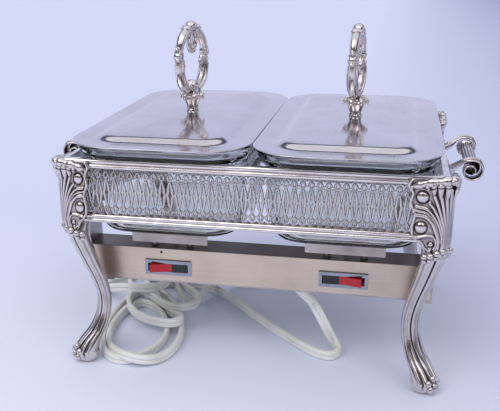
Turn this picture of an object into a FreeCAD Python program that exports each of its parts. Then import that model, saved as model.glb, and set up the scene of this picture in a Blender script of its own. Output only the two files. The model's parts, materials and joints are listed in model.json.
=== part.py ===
import FreeCAD, Part
import math
import os
from FreeCAD import Vector

# Double buffet server: a pierced stand on four cast legs, two oblong glass dishes with lift-off
# lids, and an electric warming bar hung beneath them. Millimetres. X runs along the front, Y goes
# to the back, Z is up. The origin is on the table, below the middle of the stand.

# --- driving dimensions -------------------------------------------------------------------------
STAND_WIDTH = 350.0            # over the outer faces of the rails
STAND_DEPTH = 280.0
RAIL_TOP_Z = 210.0
BASE_RAIL_Z = 149.0            # underside of the lower rails
BEAD_R = 2.3                   # each rail is a pair of half-round beads on a flat web
RAIL_THICK = 6.0
BASE_RAIL_HEIGHT = 8.0
SHEET = 1.6                    # gallery strip

CELL_PITCH = 7.6               # piercing pattern
FRONT_CELLS = 38
SIDE_CELLS = 29
RING_HOLE_R = 1.9
RING_INSET = 4.6               # ring centres from the rails

DISH_X = 85.15                 # dish centres
DISH_RIM_Z = 224.5
DISH_BOTTOM_Z = 131.0
GLASS = 5.0
LEDGE_GAP = 0.3

LID_HALF = (84.65, 157.0)
LID_CORNER_R = 36.0
LID_Z = 225.8                  # top of the lid's flange
LID_SHEET = 1.0
LID_CREST_Z = 231.6            # middle of the domed panel
RING_OUTER = (28.0, 39.5)      # half sizes of the handle's upright ring
RING_ROD_R = 4.5
RING_MID_Z = 285.0
HANDLE_TURN = {"left": -16.0, "right": -7.0}

CASE_HALF = 167.0              # warming bar
CASE_FRONT_Y = -100.5
CASE_BACK_Y = -69.5
CASE_BASE_Z = 78.2
CASE_TOP_Z = 112.0
CASE_SHEET = 1.5
STRAP = 2.0

PLATE_X = 86.0                 # hot plates
PLATE_HALF = 38.0
PLATE_FRONT_Y = -98.0
PLATE_BACK_Y = -55.0
PLATE_TOP_Z = 126.0
PLATE_SHEET = 1.2
LIP_DROP = 9.0
STUD_Y = -88.5
STUD_SPREAD = 18.0
ELEMENT_THICK = 4.0
LEAD_R = 1.1
LEAD_HOLE_Y = -75.0            # where the element's leads pass through the deck

SWITCH_X = {"left": -87.2, "right": 85.6}
SWITCH_Z = 92.4
BEZEL_HALF = (23.4, 7.6)
ROCKER_HALF = (18.6, 4.0)
ROCKER_ANGLE = 8.0
SWITCH_DEPTH = 16.0            # housing behind the panel face
PIVOT_DEPTH = 6.0
PIVOT_R = 1.2
PIVOT_CLEARANCE = 0.05

EAR_STUD_S = 27.0              # leg studs, measured from the corner
EAR_STUD_Z = (162.0, 190.0)
EAR_PROUD = 3.5

CORD_R = 5.0                   # half the width of the flat two-core cord
CORD_Z = 5.3
CROSSING_Z = 16.0              # where the tail passes over the cord
PLUG_Z = 7.8
GLAND_ROOT = Vector(41, -84, 76.7)
GLAND_DIRECTION = Vector(0.62, 0.08, -0.78)
GLAND_LENGTH = 22.0
HANK_FLOOR_Z = 0.3
FLAT_LOOPS_TOP_Z = 18.3        # loops that lie on the table
BUNDLE_TOP_Z = 32.0            # where the loops cross and are wrapped

# Route of the free cord, from the end of the strain relief to the hank, then hank to plug.
CORD_ROUTE = [
    (54.6, -82.2, 59.5), (65, -80.5, 44), (75, -76, 26), (86, -72, 10), (99, -88, CORD_Z),
    (84, -107, CORD_Z), (60, -89, CORD_Z), (36, -63, CORD_Z), (7, -36, CORD_Z),
    (-20, -6, CORD_Z), (-46, 24, CORD_Z), (-74, 47, CORD_Z), (-94, 58, CORD_Z)]
TAIL_ROUTE = [
    (-88, 20, 6), (-81, 36, CROSSING_Z), (-69, 56, CROSSING_Z), (-53, 74, 9), (-32, 91, 7),
    (-6, 99, PLUG_Z)]

HALF_W = STAND_WIDTH / 2
HALF_D = STAND_DEPTH / 2
TOP_RAIL_HEIGHT = 4 * BEAD_R
BAND_Z0 = BASE_RAIL_Z + BASE_RAIL_HEIGHT
BAND_Z1 = RAIL_TOP_Z - TOP_RAIL_HEIGHT
SHEET_Y = HALF_D - BEAD_R - SHEET / 2      # inner face of the gallery strip
SHEET_X = HALF_W - BEAD_R - SHEET / 2
ORIGIN = Vector(0, 0, 0)
UP = Vector(0, 0, 1)
SIDES = {"left": -1, "right": 1}

os.makedirs("parts", exist_ok=True)


# --- helpers ------------------------------------------------------------------------------------
def save(name, shape):
    shape.exportStep("parts/" + name + ".step")
    print(f"{name:22s} solids {len(shape.Solids)}  volume {shape.Volume / 1000:.2f} cm3  "
          f"valid {shape.isValid()}")


def block(x0, x1, y0, y1, z0, z1):
    return Part.makeBox(x1 - x0, y1 - y0, z1 - z0, Vector(x0, y0, z0))


def group(shapes):
    return Part.makeCompound(shapes)


def rounded_rectangle(centre_x, half_x, half_y, radius, z):
    """A closed outline of four lines and four quarter circles, level at z."""
    edges = []
    corners = [(1, 1, 0), (-1, 1, 90), (-1, -1, 180), (1, -1, 270)]
    previous_end = None
    first_start = None
    for sx, sy, start in corners:
        centre = Vector(centre_x + sx * (half_x - radius), sy * (half_y - radius), z)
        arc = Part.makeCircle(radius, centre, UP, start, start + 90)
        if previous_end is None:
            first_start = arc.firstVertex().Point
        else:
            edges.append(Part.makeLine(previous_end, arc.firstVertex().Point))
        edges.append(arc)
        previous_end = arc.lastVertex().Point
    edges.append(Part.makeLine(previous_end, first_start))
    return Part.Wire(edges)


def loft(sections):
    """A ruled solid through (centre_x, half_x, half_y, radius, z) sections."""
    return Part.makeLoft([rounded_rectangle(*s) for s in sections], True, True)


def tube(route, radius, report=""):
    """A round tube along straight runs joined by tangent arcs as large as the runs allow."""
    points = [Vector(*p) for p in route]
    edges = []
    start = points[0]
    radii = []
    for before, corner, after in zip(points, points[1:], points[2:]):
        into = (corner - before).normalize()
        out = (after - corner).normalize()
        turn = into.getAngle(out)
        trim = 0.45 * min((corner - before).Length, (after - corner).Length)
        radii.append(trim / math.tan(turn / 2))
        arc_start = corner - into * trim
        arc_end = corner + out * trim
        bisector = (out - into).normalize()
        sag = radii[-1] * (1 / math.cos(turn / 2) - 1)
        edges.append(Part.makeLine(start, arc_start))
        edges.append(Part.Arc(arc_start, corner + bisector * sag, arc_end).toShape())
        start = arc_end
    edges.append(Part.makeLine(start, points[-1]))
    path = Part.Wire(edges)
    circle = Part.makeCircle(radius, points[0], points[1] - points[0])
    solid = path.makePipeShell([Part.Wire([circle])], True, False)
    if report:
        expected = math.pi * radius ** 2 * path.Length
        print(f"{report}: length {path.Length:.0f} mm, volume {solid.Volume:.0f} of "
              f"{expected:.0f}, radii", [round(r) for r in radii])
    return solid


def revolved(profile, base):
    """A turned solid from (radius, height) points, standing at base along +Z."""
    points = [Vector(r, 0, h) for r, h in profile]
    face = Part.Face(Part.makePolygon(points + [points[0]]))
    solid = face.revolve(ORIGIN, UP, 360)
    solid.translate(base)
    return solid


def hex_nut(across, height, hole_r, base, axis):
    """A hexagonal nut whose seat is at base and whose height runs along axis."""
    corner_r = across / math.sqrt(3)
    points = [Vector(corner_r * math.cos(math.radians(a)), corner_r * math.sin(math.radians(a)), 0)
              for a in range(0, 361, 60)]
    body = Part.Face(Part.makePolygon(points)).extrude(Vector(0, 0, height))
    body = body.cut(Part.makeCylinder(hole_r, height))
    body.Placement = FreeCAD.Placement(base, FreeCAD.Rotation(UP, axis))
    return body


# --- pierced galleries --------------------------------------------------------------------------
def arc_wire(points):
    """A closed outline from (start, middle, end) arcs and (start, end) lines in the XZ plane."""
    edges = []
    for item in points:
        ends = [Vector(x, 0, z) for x, z in item]
        if len(item) == 3:
            edges.append(Part.Arc(*ends).toShape())
        else:
            edges.append(Part.makeLine(*ends))
    return Part.Wire(edges)


def cell_openings(x, z0, z1):
    """The openings of one repeat: two ring eyes and a tall pointed oval with a cusped waist."""
    middle = (z0 + z1) / 2
    tip = (z1 - z0) / 2 - 8.8
    wide = 2.3
    waist = 0.7
    wires = []
    for z in (z0 + RING_INSET, z1 - RING_INSET):
        wires.append(Part.Wire([Part.makeCircle(RING_HOLE_R, Vector(x, 0, z), Vector(0, 1, 0))]))
    bulge = 0.55 * tip
    wires.append(arc_wire([
        ((x, middle + tip), (x + 1.75, middle + bulge), (x + wide, middle + waist)),
        ((x + wide, middle + waist), (x + wide, middle - waist)),
        ((x + wide, middle - waist), (x + 1.75, middle - bulge), (x, middle - tip)),
        ((x, middle - tip), (x - 1.75, middle - bulge), (x - wide, middle - waist)),
        ((x - wide, middle - waist), (x - wide, middle + waist)),
        ((x - wide, middle + waist), (x - 1.75, middle + bulge), (x, middle + tip))]))
    return wires


def openings_between(x, z0, z1):
    """The darts and the small triangles between two repeats."""
    middle = (z0 + z1) / 2
    wires = []
    for rail, towards in ((z1, 1), (z0, -1)):
        dart = [(0, middle + towards * 3.6), (2.1, rail - towards * 9.6),
                (0, rail - towards * 6.6), (-2.1, rail - towards * 9.6)]
        corners = [Vector(x + dx, 0, z) for dx, z in dart]
        wires.append(Part.makePolygon(corners + corners[:1]))
        triangle = [(1.4, rail - towards * 0.9), (0, rail - towards * 3.3),
                    (-1.4, rail - towards * 0.9)]
        corners = [Vector(x + dx, 0, z) for dx, z in triangle]
        wires.append(Part.makePolygon(corners + corners[:1]))
    return wires


def gallery(half_length, cells, stud_offset):
    """A pierced strip in the XZ plane, its outer face at y = -SHEET/2."""
    outline = Part.makePolygon([Vector(x, 0, z) for x, z in (
        (-half_length, BAND_Z0), (half_length, BAND_Z0), (half_length, BAND_Z1),
        (-half_length, BAND_Z1), (-half_length, BAND_Z0))])
    openings = []
    for index in range(cells):
        x = (index - (cells - 1) / 2) * CELL_PITCH
        openings += cell_openings(x, BAND_Z0, BAND_Z1)
        if index < cells - 1:
            openings += openings_between(x + CELL_PITCH / 2, BAND_Z0, BAND_Z1)
    for x in (-stud_offset, stud_offset):
        for z in EAR_STUD_Z:
            openings.append(Part.Wire([Part.makeCircle(2.1, Vector(x, 0, z), Vector(0, 1, 0))]))
    sheet = Part.makeFace([outline] + openings, "Part::FaceMakerBullseye")
    plate = sheet.extrude(Vector(0, SHEET, 0))
    plate.translate(Vector(0, -SHEET / 2, 0))
    return plate


def make_galleries():
    front = gallery(SHEET_X, FRONT_CELLS, HALF_W - EAR_STUD_S)
    side = gallery(SHEET_Y - SHEET, SIDE_CELLS, HALF_D - EAR_STUD_S)
    for name, y in (("front", -SHEET_Y), ("back", SHEET_Y)):
        placed = front.copy()
        placed.translate(Vector(0, y, 0))
        save("gallery_" + name, placed)
    for name, x in (("left", -SHEET_X), ("right", SHEET_X)):
        placed = side.copy()
        placed.rotate(ORIGIN, UP, 90)
        placed.translate(Vector(x, 0, 0))
        save("gallery_" + name, placed)


# --- beaded rails -------------------------------------------------------------------------------
def rail(half_length, z0, height):
    """A web with two half-round beads on its outer face, which is at y = 0."""
    bead_r = height / 4
    shape = block(-half_length, half_length, bead_r, RAIL_THICK, z0, z0 + height)
    for z in (z0 + bead_r, z0 + height - bead_r):
        bead = Part.makeCylinder(bead_r, 2 * half_length, Vector(-half_length, bead_r, z),
                                 Vector(1, 0, 0))
        shape = shape.fuse(bead)
    return shape.removeSplitter()


def make_rails():
    for level, z0, height in (("top", BAND_Z1, TOP_RAIL_HEIGHT),
                              ("base", BASE_RAIL_Z, BASE_RAIL_HEIGHT)):
        long_rail = rail(HALF_W, z0, height)
        long_rail.translate(Vector(0, -HALF_D, 0))
        save(level + "_rail_front", long_rail)
        back = long_rail.copy()
        back.rotate(ORIGIN, UP, 180)
        save(level + "_rail_back", back)
        short_rail = rail(HALF_D - RAIL_THICK, z0, height)
        short_rail.translate(Vector(0, -HALF_W, 0))
        for name, angle in (("left", -90), ("right", 90)):
            placed = short_rail.copy()
            placed.rotate(ORIGIN, UP, angle)
            save(level + "_rail_" + name, placed)


def make_centre_bar():
    """The flat bar between the dishes, with a turned-down web; it carries their inner ledges."""
    inner = HALF_D - RAIL_THICK
    flat = block(-8, 8, -inner, inner, RAIL_TOP_Z - 3, RAIL_TOP_Z)
    web = block(-1, 1, -inner, inner, RAIL_TOP_Z - 9, RAIL_TOP_Z - 3)
    save("centre_bar", flat.fuse(web).removeSplitter())


# --- cast legs ----------------------------------------------------------------------------------
# The leg's core: (height, offset from the frame's corner along the diagonal, half width across
# the diagonal, half thickness along it). The shank sweeps in below the knee and out to the toe.
LEG_SECTIONS = [
    (0, -14, 9, 8.5), (4, -13.5, 12, 11), (13, -12.5, 13.5, 12.5), (22, -18, 13, 9.5),
    (33, -27, 12, 6.5), (48, -34, 10.5, 5.5), (66, -35, 10.5, 5.5), (85, -30, 10.5, 6),
    (105, -22.5, 10.5, 6.5), (124, -15.5, 11.5, 7.5), (140, -10, 14, 9), (158, -6, 17, 9),
    (180, -4.5, 16, 8), (205, -4, 13, 7)]
# The ear's wavy inner edge: distance from the corner, height.
EAR_EDGE = [
    (2, 206), (18, 207.3), (33, 207), (36.5, 202), (31, 195), (34, 187), (29, 176), (32, 165),
    (28, 155), (20, 149), (15, 141), (6, 137)]


def on_diagonal(offset, z):
    step = offset / math.sqrt(2)
    return Vector(HALF_W + step, -HALF_D - step, z)


def leg_core():
    wires = []
    for z, offset, across, along in LEG_SECTIONS:
        ellipse = Part.Ellipse(ORIGIN, across, along).toShape()
        ellipse.rotate(ORIGIN, UP, 45)
        ellipse.translate(on_diagonal(offset, z))
        wires.append(Part.Wire([ellipse]))
    return Part.makeLoft(wires, True, False)


def ear():
    """The flat wing of a leg on the front face, between the rails' outer face and EAR_PROUD."""
    points = [Vector(HALF_W - s, -HALF_D - EAR_PROUD, z) for s, z in EAR_EDGE]
    edge = Part.BSplineCurve()
    edge.interpolate(points)
    closing = Part.makePolygon([points[-1], Vector(HALF_W, -HALF_D - EAR_PROUD, 140),
                                Vector(HALF_W, -HALF_D - EAR_PROUD, 205), points[0]])
    wing = Part.Face(Part.Wire([edge.toShape()] + closing.Edges)).extrude(Vector(0, EAR_PROUD, 0))
    roll_z = 207
    roll_y = -HALF_D - 4.5
    roll = Part.makeCylinder(5.0, HALF_W + 3 - 154, Vector(154, roll_y, roll_z), Vector(1, 0, 0))
    wing = wing.fuse([roll, Part.makeSphere(5.0, Vector(154, roll_y, roll_z))])
    for z in EAR_STUD_Z:
        centre = Vector(HALF_W - EAR_STUD_S, -HALF_D - 1.5, z)
        wing = wing.fuse(Part.makeSphere(6.2, centre))
    return wing


def ear_studs():
    x = HALF_W - EAR_STUD_S
    return [Part.makeCylinder(2.0, 8.5, Vector(x, -HALF_D - 1, z), Vector(0, 1, 0))
            for z in EAR_STUD_Z]


def across_corner(shape):
    """The same piece on the other face of the corner: a half turn about the level diagonal
    would swap top and bottom, so it is mirrored in the upright plane of the diagonal."""
    moved = shape.copy()
    moved.translate(Vector(-HALF_W, HALF_D, 0))
    moved = moved.mirror(ORIGIN, Vector(1, 1, 0))
    moved.translate(Vector(HALF_W, -HALF_D, 0))
    return moved


def front_right_leg():
    front_ear = ear()
    pieces = [front_ear, across_corner(front_ear)]
    pieces.append(Part.makeSphere(5.8, on_diagonal(5.5, 206)))
    pieces.append(Part.makeSphere(4.6, on_diagonal(0.5, 141)))
    pieces.append(Part.makeSphere(7.5, on_diagonal(-3.5, 9)))
    leg = leg_core().fuse(pieces)
    inside = block(-HALF_W, HALF_W, -HALF_D, HALF_D, BASE_RAIL_Z, RAIL_TOP_Z + 10)
    leg = leg.cut(inside)
    studs = ear_studs()
    leg = leg.fuse(studs + [across_corner(s) for s in studs])
    return leg.removeSplitter()


def make_legs():
    front_right = front_right_leg()
    back_right = front_right.mirror(ORIGIN, Vector(0, 1, 0))
    legs = {"front_right": front_right, "back_right": back_right,
            "front_left": front_right.mirror(ORIGIN, Vector(1, 0, 0)),
            "back_left": back_right.mirror(ORIGIN, Vector(1, 0, 0))}
    for name, leg in legs.items():
        save("leg_" + name, leg)
    nuts = []
    for z in EAR_STUD_Z:
        for sx in (-1, 1):
            for sy in (-1, 1):
                seat = Vector(sx * (HALF_W - EAR_STUD_S), sy * (SHEET_Y - SHEET / 2), z)
                nuts.append(hex_nut(7, 3, 2.05, seat, Vector(0, -sy, 0)))
                seat = Vector(sx * (SHEET_X - SHEET / 2), sy * (HALF_D - EAR_STUD_S), z)
                nuts.append(hex_nut(7, 3, 2.05, seat, Vector(-sx, 0, 0)))
    save("leg_nuts", group(nuts))


# --- end handles --------------------------------------------------------------------------------
END_HANDLE_ROUTE = [
    (HALF_W + 0.2, -44, 194), (190, -51, 195), (205, -46, 196), (208.5, -26, 197),
    (208.8, 0, 197.4), (208.5, 26, 197), (205, 46, 196), (190, 51, 195), (HALF_W + 0.2, 44, 194)]


def make_end_handles():
    loop = tube(END_HANDLE_ROUTE, 4.0)
    grip = Part.makeCylinder(5.2, 44, Vector(208.4, -22, 197.2), Vector(0, 1, 0))
    ends = [Part.makeSphere(5.2, Vector(208.4, y, 197.2)) for y in (-22, 22)]
    scrolls = [Part.makeSphere(7.6, Vector(204, y, 194)) for y in (-46, 46)]
    pads = [block(HALF_W, HALF_W + 2.5, y - 8, y + 8, 186, 201) for y in (-44, 44)]
    handle = loop.fuse([grip] + ends + scrolls + pads)
    handle = handle.cut(block(HALF_W - 10, HALF_W, -70, 70, 170, 220)).removeSplitter()
    save("end_handle_right", handle)
    save("end_handle_left", handle.mirror(ORIGIN, Vector(1, 0, 0)))


# --- glass dishes -------------------------------------------------------------------------------
def make_dish(side):
    x = SIDES[side] * DISH_X
    ledge_z = RAIL_TOP_Z + LEDGE_GAP
    wall = [(62, 112, 26, DISH_BOTTOM_Z), (66.5, 117.5, 29, DISH_BOTTOM_Z + 4),
            (71, 123, 31, DISH_BOTTOM_Z + 15), (76.2, 131, 33, ledge_z)]
    rim = [(79.5, 142.5, 35, ledge_z), (80.2, 144.5, 35.5, ledge_z + 4),
           (83.5, 149.5, 37, DISH_RIM_Z)]
    outside = loft([(x,) + s for s in wall]).fuse(loft([(x,) + s for s in rim]))
    room = [(57, 107, 22, DISH_BOTTOM_Z + GLASS), (62, 113, 25, DISH_BOTTOM_Z + GLASS + 4),
            (66.2, 118.2, 27, DISH_BOTTOM_Z + 18), (71.2, 126, 29, ledge_z + 2),
            (75, 138, 31, ledge_z + 7), (79.5, 145.5, 34, DISH_RIM_Z + 0.01)]
    save("dish_" + side, outside.cut(loft([(x,) + s for s in room])).removeSplitter())


# --- lids ---------------------------------------------------------------------------------------
def lid_form(x, drop):
    """The raised part of a lid: a cove and a shallow domed panel, lowered by drop."""
    cove = [(66, 138, 26, LID_Z - 3), (65, 137, 25, LID_Z), (58.5, 130.5, 20, LID_Z + 3.2),
            (56, 128, 18, LID_Z + 4.2), (34, 96, 16, LID_Z + 5.3), (8, 40, 7.9, LID_CREST_Z)]
    return loft([(x, hx, hy, r, z - drop) for hx, hy, r, z in cove])


def make_lid(side):
    x = SIDES[side] * DISH_X
    hx, hy = LID_HALF
    flange = loft([(x, hx, hy, LID_CORNER_R, LID_Z - LID_SHEET), (x, hx, hy, LID_CORNER_R, LID_Z)])
    above = block(x - 90, x + 90, -170, 170, LID_Z - LID_SHEET, LID_CREST_Z + 5)
    shell = flange.fuse(lid_form(x, 0).common(above)).cut(lid_form(x, LID_SHEET))
    shell = shell.cut(Part.makeCylinder(2.6, 20, Vector(x, 0, LID_Z - 5)))
    save("lid_" + side, shell.removeSplitter())


def oval_path(half_y, half_z, end_r):
    """An upright oval in the YZ plane, made of four tangent arcs."""
    rise = half_z - end_r
    side_r = (rise ** 2 + half_y ** 2 - end_r ** 2) / (2 * (half_y - end_r))
    side_centre = half_y - side_r
    swing = math.atan2(rise, -side_centre)
    y_join = side_centre + side_r * math.cos(swing)
    z_join = side_r * math.sin(swing)
    marks = [(half_y, 0), (y_join, z_join), (0, half_z), (-y_join, z_join),
             (-half_y, 0), (-y_join, -z_join), (0, -half_z), (y_join, -z_join)]
    at = [Vector(0, y, z) for y, z in marks]
    arcs = [(at[7], at[0], at[1]), (at[1], at[2], at[3]), (at[3], at[4], at[5]),
            (at[5], at[6], at[7])]
    return Part.Wire([Part.Arc(*a).toShape() for a in arcs])


def make_lid_handle(side):
    """A turned foot and collar under an upright scrolled ring, cast in one piece with the stud
    that goes through the lid."""
    half_y = RING_OUTER[0] - RING_ROD_R
    half_z = RING_OUTER[1] - RING_ROD_R
    path = oval_path(half_y, half_z, 19.0)
    start = path.Edges[0].firstVertex().Point
    tangent = path.Edges[0].tangentAt(path.Edges[0].FirstParameter)
    section = Part.Wire([Part.makeCircle(RING_ROD_R, start, tangent)])
    ring = path.makePipeShell([section], True, False)
    scrolls = [Part.makeSphere(6.5, Vector(0, y, half_z + 0.5)) for y in (-5, 5)]
    scrolls += [Part.makeSphere(6.0, Vector(0, s * (half_y + 0.5), 12)) for s in (-1, 1)]
    scrolls += [Part.makeSphere(7.0, Vector(0, 0, -half_z + 3)),
                Part.makeSphere(4.5, Vector(0, 0, half_z - 9))]
    ring = ring.fuse(scrolls)
    ring.translate(Vector(0, 0, RING_MID_Z))
    foot_z = LID_CREST_Z
    top = RING_MID_Z - RING_OUTER[1] + 3 - foot_z
    foot = revolved([(0, 0), (8.5, 0), (8.0, 2), (6.2, 6), (5.8, 9), (7.4, top - 4), (9.0, top - 2),
                     (6.5, top + 1), (0, top + 1)], Vector(0, 0, foot_z))
    stud = Part.makeCylinder(2.4, 9, Vector(0, 0, foot_z - 9))
    handle = ring.fuse([foot, stud]).removeSplitter()
    handle.rotate(ORIGIN, UP, HANDLE_TURN[side])
    handle.translate(Vector(SIDES[side] * DISH_X, 0, 0))
    save("lid_handle_" + side, handle)
    seat = Vector(SIDES[side] * DISH_X, 0, LID_CREST_Z - LID_SHEET - 0.4)
    save("lid_nut_" + side, hex_nut(10, 4, 2.5, seat, Vector(0, 0, -1)))


# --- warming bar --------------------------------------------------------------------------------
def make_hangers():
    """J-shaped straps from the end galleries' lower rails, turned in under the bar."""
    y0, y1 = CASE_FRONT_Y, CASE_BACK_Y + 2
    foot_z = CASE_BASE_Z - CASE_SHEET - STRAP
    upright = block(CASE_HALF, CASE_HALF + STRAP, y0, y1, foot_z, BAND_Z0)
    tongue = block(CASE_HALF - 22, CASE_HALF, y0, y1, foot_z, foot_z + STRAP)
    strap = upright.fuse(tongue).removeSplitter()
    screws = []
    for y in (y0 + 8, y1 - 8):
        bore = Part.makeCylinder(1.6, STRAP, Vector(CASE_HALF, y, BASE_RAIL_Z + 4), Vector(1, 0, 0))
        strap = strap.cut(bore)
        head = Part.makeSphere(3.2, Vector(CASE_HALF + 1.4, y, BASE_RAIL_Z + 4))
        head = head.common(block(CASE_HALF - 4, CASE_HALF, y - 5, y + 5, BASE_RAIL_Z, BAND_Z0))
        shank = Part.makeCylinder(1.5, STRAP, Vector(CASE_HALF, y, BASE_RAIL_Z + 4),
                                  Vector(1, 0, 0))
        screws.append(head.fuse(shank).removeSplitter())
    save("hanger_right", strap)
    save("hanger_left", strap.mirror(ORIGIN, Vector(1, 0, 0)))
    save("hanger_screws", group(screws + [s.mirror(ORIGIN, Vector(1, 0, 0)) for s in screws]))


def stud_places():
    return [(sx * PLATE_X + offset, STUD_Y) for sx in (-1, 1)
            for offset in (-STUD_SPREAD, STUD_SPREAD)]


def make_case():
    """The folded sheet housing, open below, its base plate and the screws between them."""
    t = CASE_SHEET
    outer = block(-CASE_HALF, CASE_HALF, CASE_FRONT_Y, CASE_BACK_Y, CASE_BASE_Z, CASE_TOP_Z)
    room = block(-CASE_HALF + t, CASE_HALF - t, CASE_FRONT_Y + t, CASE_BACK_Y - t,
                 CASE_BASE_Z - 1, CASE_TOP_Z - t)
    case = outer.cut(room)
    for x in SWITCH_X.values():
        case = case.cut(block(x - 22.1, x + 22.1, CASE_FRONT_Y - 1, CASE_FRONT_Y + t + 1,
                              SWITCH_Z - 6.1, SWITCH_Z + 6.1))
    for x, y in stud_places():
        case = case.cut(Part.makeCylinder(2.1, 6, Vector(x, y, CASE_TOP_Z - 4)))
    for sx in (-1, 1):
        case = case.cut(Part.makeCylinder(2.4, 6, Vector(sx * PLATE_X, LEAD_HOLE_Y, CASE_TOP_Z - 4)))
    tooling_hole = Part.makeCylinder(1.3, 6, Vector(-94, CASE_FRONT_Y - 2, 108), Vector(0, 1, 0))
    case = case.cut(tooling_hole)
    lug_x = (-150.0, -20.0, 20.0, 150.0)
    lug_y = (CASE_FRONT_Y + CASE_BACK_Y) / 2
    for x in lug_x:
        post = block(x - 4, x + 4, CASE_FRONT_Y + t, CASE_BACK_Y - t, CASE_BASE_Z, CASE_BASE_Z + 3)
        case = case.fuse(post).cut(Part.makeCylinder(1.5, 3, Vector(x, lug_y, CASE_BASE_Z)))
    save("warmer_case", case.removeSplitter())
    base = block(-CASE_HALF, CASE_HALF, CASE_FRONT_Y, CASE_BACK_Y, CASE_BASE_Z - t, CASE_BASE_Z)
    screws = []
    for x in lug_x[1:3]:
        base = base.cut(Part.makeCylinder(1.6, t, Vector(x, lug_y, CASE_BASE_Z - t)))
        screws.append(revolved([(0, 0), (3.0, 0), (3.0, 1.6), (1.45, 1.6), (1.45, 6.0), (0, 6.0)],
                               Vector(x, lug_y, CASE_BASE_Z - t - 1.6)))
    base = base.cut(Part.makeCylinder(8.2, t, Vector(GLAND_ROOT.x, GLAND_ROOT.y, CASE_BASE_Z - t)))
    save("warmer_base", base)
    save("base_screws", group(screws))


def make_hot_plates():
    """Raised sheet plates with a folded front lip, each over a sealed flat element and carried
    on two studs through the deck."""
    for side, sx in SIDES.items():
        x = sx * PLATE_X
        top = block(x - PLATE_HALF, x + PLATE_HALF, PLATE_FRONT_Y, PLATE_BACK_Y,
                    PLATE_TOP_Z - PLATE_SHEET, PLATE_TOP_Z)
        lip = block(x - PLATE_HALF, x + PLATE_HALF, PLATE_FRONT_Y, PLATE_FRONT_Y + PLATE_SHEET,
                    PLATE_TOP_Z - LIP_DROP, PLATE_TOP_Z - PLATE_SHEET)
        save("hot_plate_" + side, top.fuse(lip).removeSplitter())
        under = PLATE_TOP_Z - PLATE_SHEET
        save("heating_element_" + side,
             loft([(0, 30, 11, 5, under - ELEMENT_THICK), (0, 30, 11, 5, under)]).translated(
                 Vector(x, -70, 0)))
    studs = []
    nuts = []
    for x, y in stud_places():
        studs.append(revolved([(0, -8), (1.9, -8), (1.9, 0), (3.6, 0), (3.6, 12.8), (0, 12.8)],
                              Vector(x, y, CASE_TOP_Z)))
        nuts.append(hex_nut(7, 3, 2.0, Vector(x, y, CASE_TOP_Z - CASE_SHEET), Vector(0, 0, -1)))
    save("plate_studs", group(studs))
    save("stud_nuts", group(nuts))


def make_switch(side):
    """A long rocker switch: housing with its bezel, and a rocker on a cross pin."""
    x = SWITCH_X[side]
    face = CASE_FRONT_Y
    hx, hz = BEZEL_HALF
    bezel = block(x - hx, x + hx, face - 2, face, SWITCH_Z - hz, SWITCH_Z + hz)
    body = block(x - 22, x + 22, face, face + SWITCH_DEPTH, SWITCH_Z - 6, SWITCH_Z + 6)
    room = block(x - 20.3, x + 20.3, face - 3, face + 13, SWITCH_Z - 4.3, SWITCH_Z + 4.3)
    pivot = Vector(x, face + PIVOT_DEPTH - 2, SWITCH_Z)
    pin_half = 5.4
    bore = Part.makeCylinder(PIVOT_R + PIVOT_CLEARANCE, 2 * pin_half + 0.2,
                             pivot - UP * (pin_half + 0.1))
    save("switch_housing_" + side, bezel.fuse(body).cut(room).cut(bore).removeSplitter())
    rx, rz = ROCKER_HALF
    end_y = rx * math.tan(math.radians(ROCKER_ANGLE))
    profile = [(-rx, -end_y), (0, 0), (rx, -end_y), (rx, 2.6), (5, PIVOT_DEPTH + 2.4),
               (-5, PIVOT_DEPTH + 2.4), (-rx, 2.6)]
    points = [Vector(px, py - PIVOT_DEPTH, -rz) for px, py in profile]
    rocker = Part.Face(Part.makePolygon(points + points[:1])).extrude(Vector(0, 0, 2 * rz))
    rocker = rocker.fuse(Part.makeCylinder(PIVOT_R, 2 * pin_half, Vector(0, 0, -pin_half)))
    rocker.rotate(ORIGIN, UP, ROCKER_ANGLE * (1 if side == "left" else -1))
    rocker.translate(pivot)
    save("rocker_" + side, rocker.removeSplitter())


def make_wiring():
    """Terminal block near the cord entry, a lead from it to the back of each switch, and one
    from each switch up through the deck to its heating element."""
    block_top = CASE_BASE_Z + 10
    save("terminal_block", block(-9, 9, -96, -84, CASE_BASE_Z, block_top))
    switch_back_y = CASE_FRONT_Y + SWITCH_DEPTH
    element_z = PLATE_TOP_Z - PLATE_SHEET - ELEMENT_THICK
    leads = []
    for side, x in SWITCH_X.items():
        sx = SIDES[side]
        feed_x = x - sx * 12
        out_x = x + sx * 10
        leads.append(tube([
            (sx * 4, -90, block_top), (sx * 4, -90, 97), (sx * 16, -79, 99),
            (feed_x - sx * 14, -78, 97), (feed_x, -77, SWITCH_Z),
            (feed_x, switch_back_y, SWITCH_Z)], LEAD_R))
        leads.append(tube([
            (out_x, switch_back_y, SWITCH_Z), (out_x, -77.5, SWITCH_Z),
            (sx * PLATE_X, LEAD_HOLE_Y, 101), (sx * PLATE_X, LEAD_HOLE_Y, element_z)], LEAD_R))
    save("inner_leads", group(leads))


# --- cord ---------------------------------------------------------------------------------------
FLAT_LOOPS_OUTLINE = [
    (-175, -20), (-175, -55), (-168, -92), (-155, -118), (-143, -137), (-124, -144), (-102, -145),
    (-85, -132), (-77, -103), (-79, -65), (-80, -25), (-84, 22), (-92, 62), (-125, 69),
    (-150, 58), (-168, 32)]
BUNDLE_OUTLINE = [
    (-170, -20), (-160, -45), (-133, -67), (-108, -77), (-88, -74), (-79, -50), (-76, -12),
    (-84, 16), (-104, 38), (-138, 60), (-188, 65), (-208, 46), (-207, 14), (-190, -7)]


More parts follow.
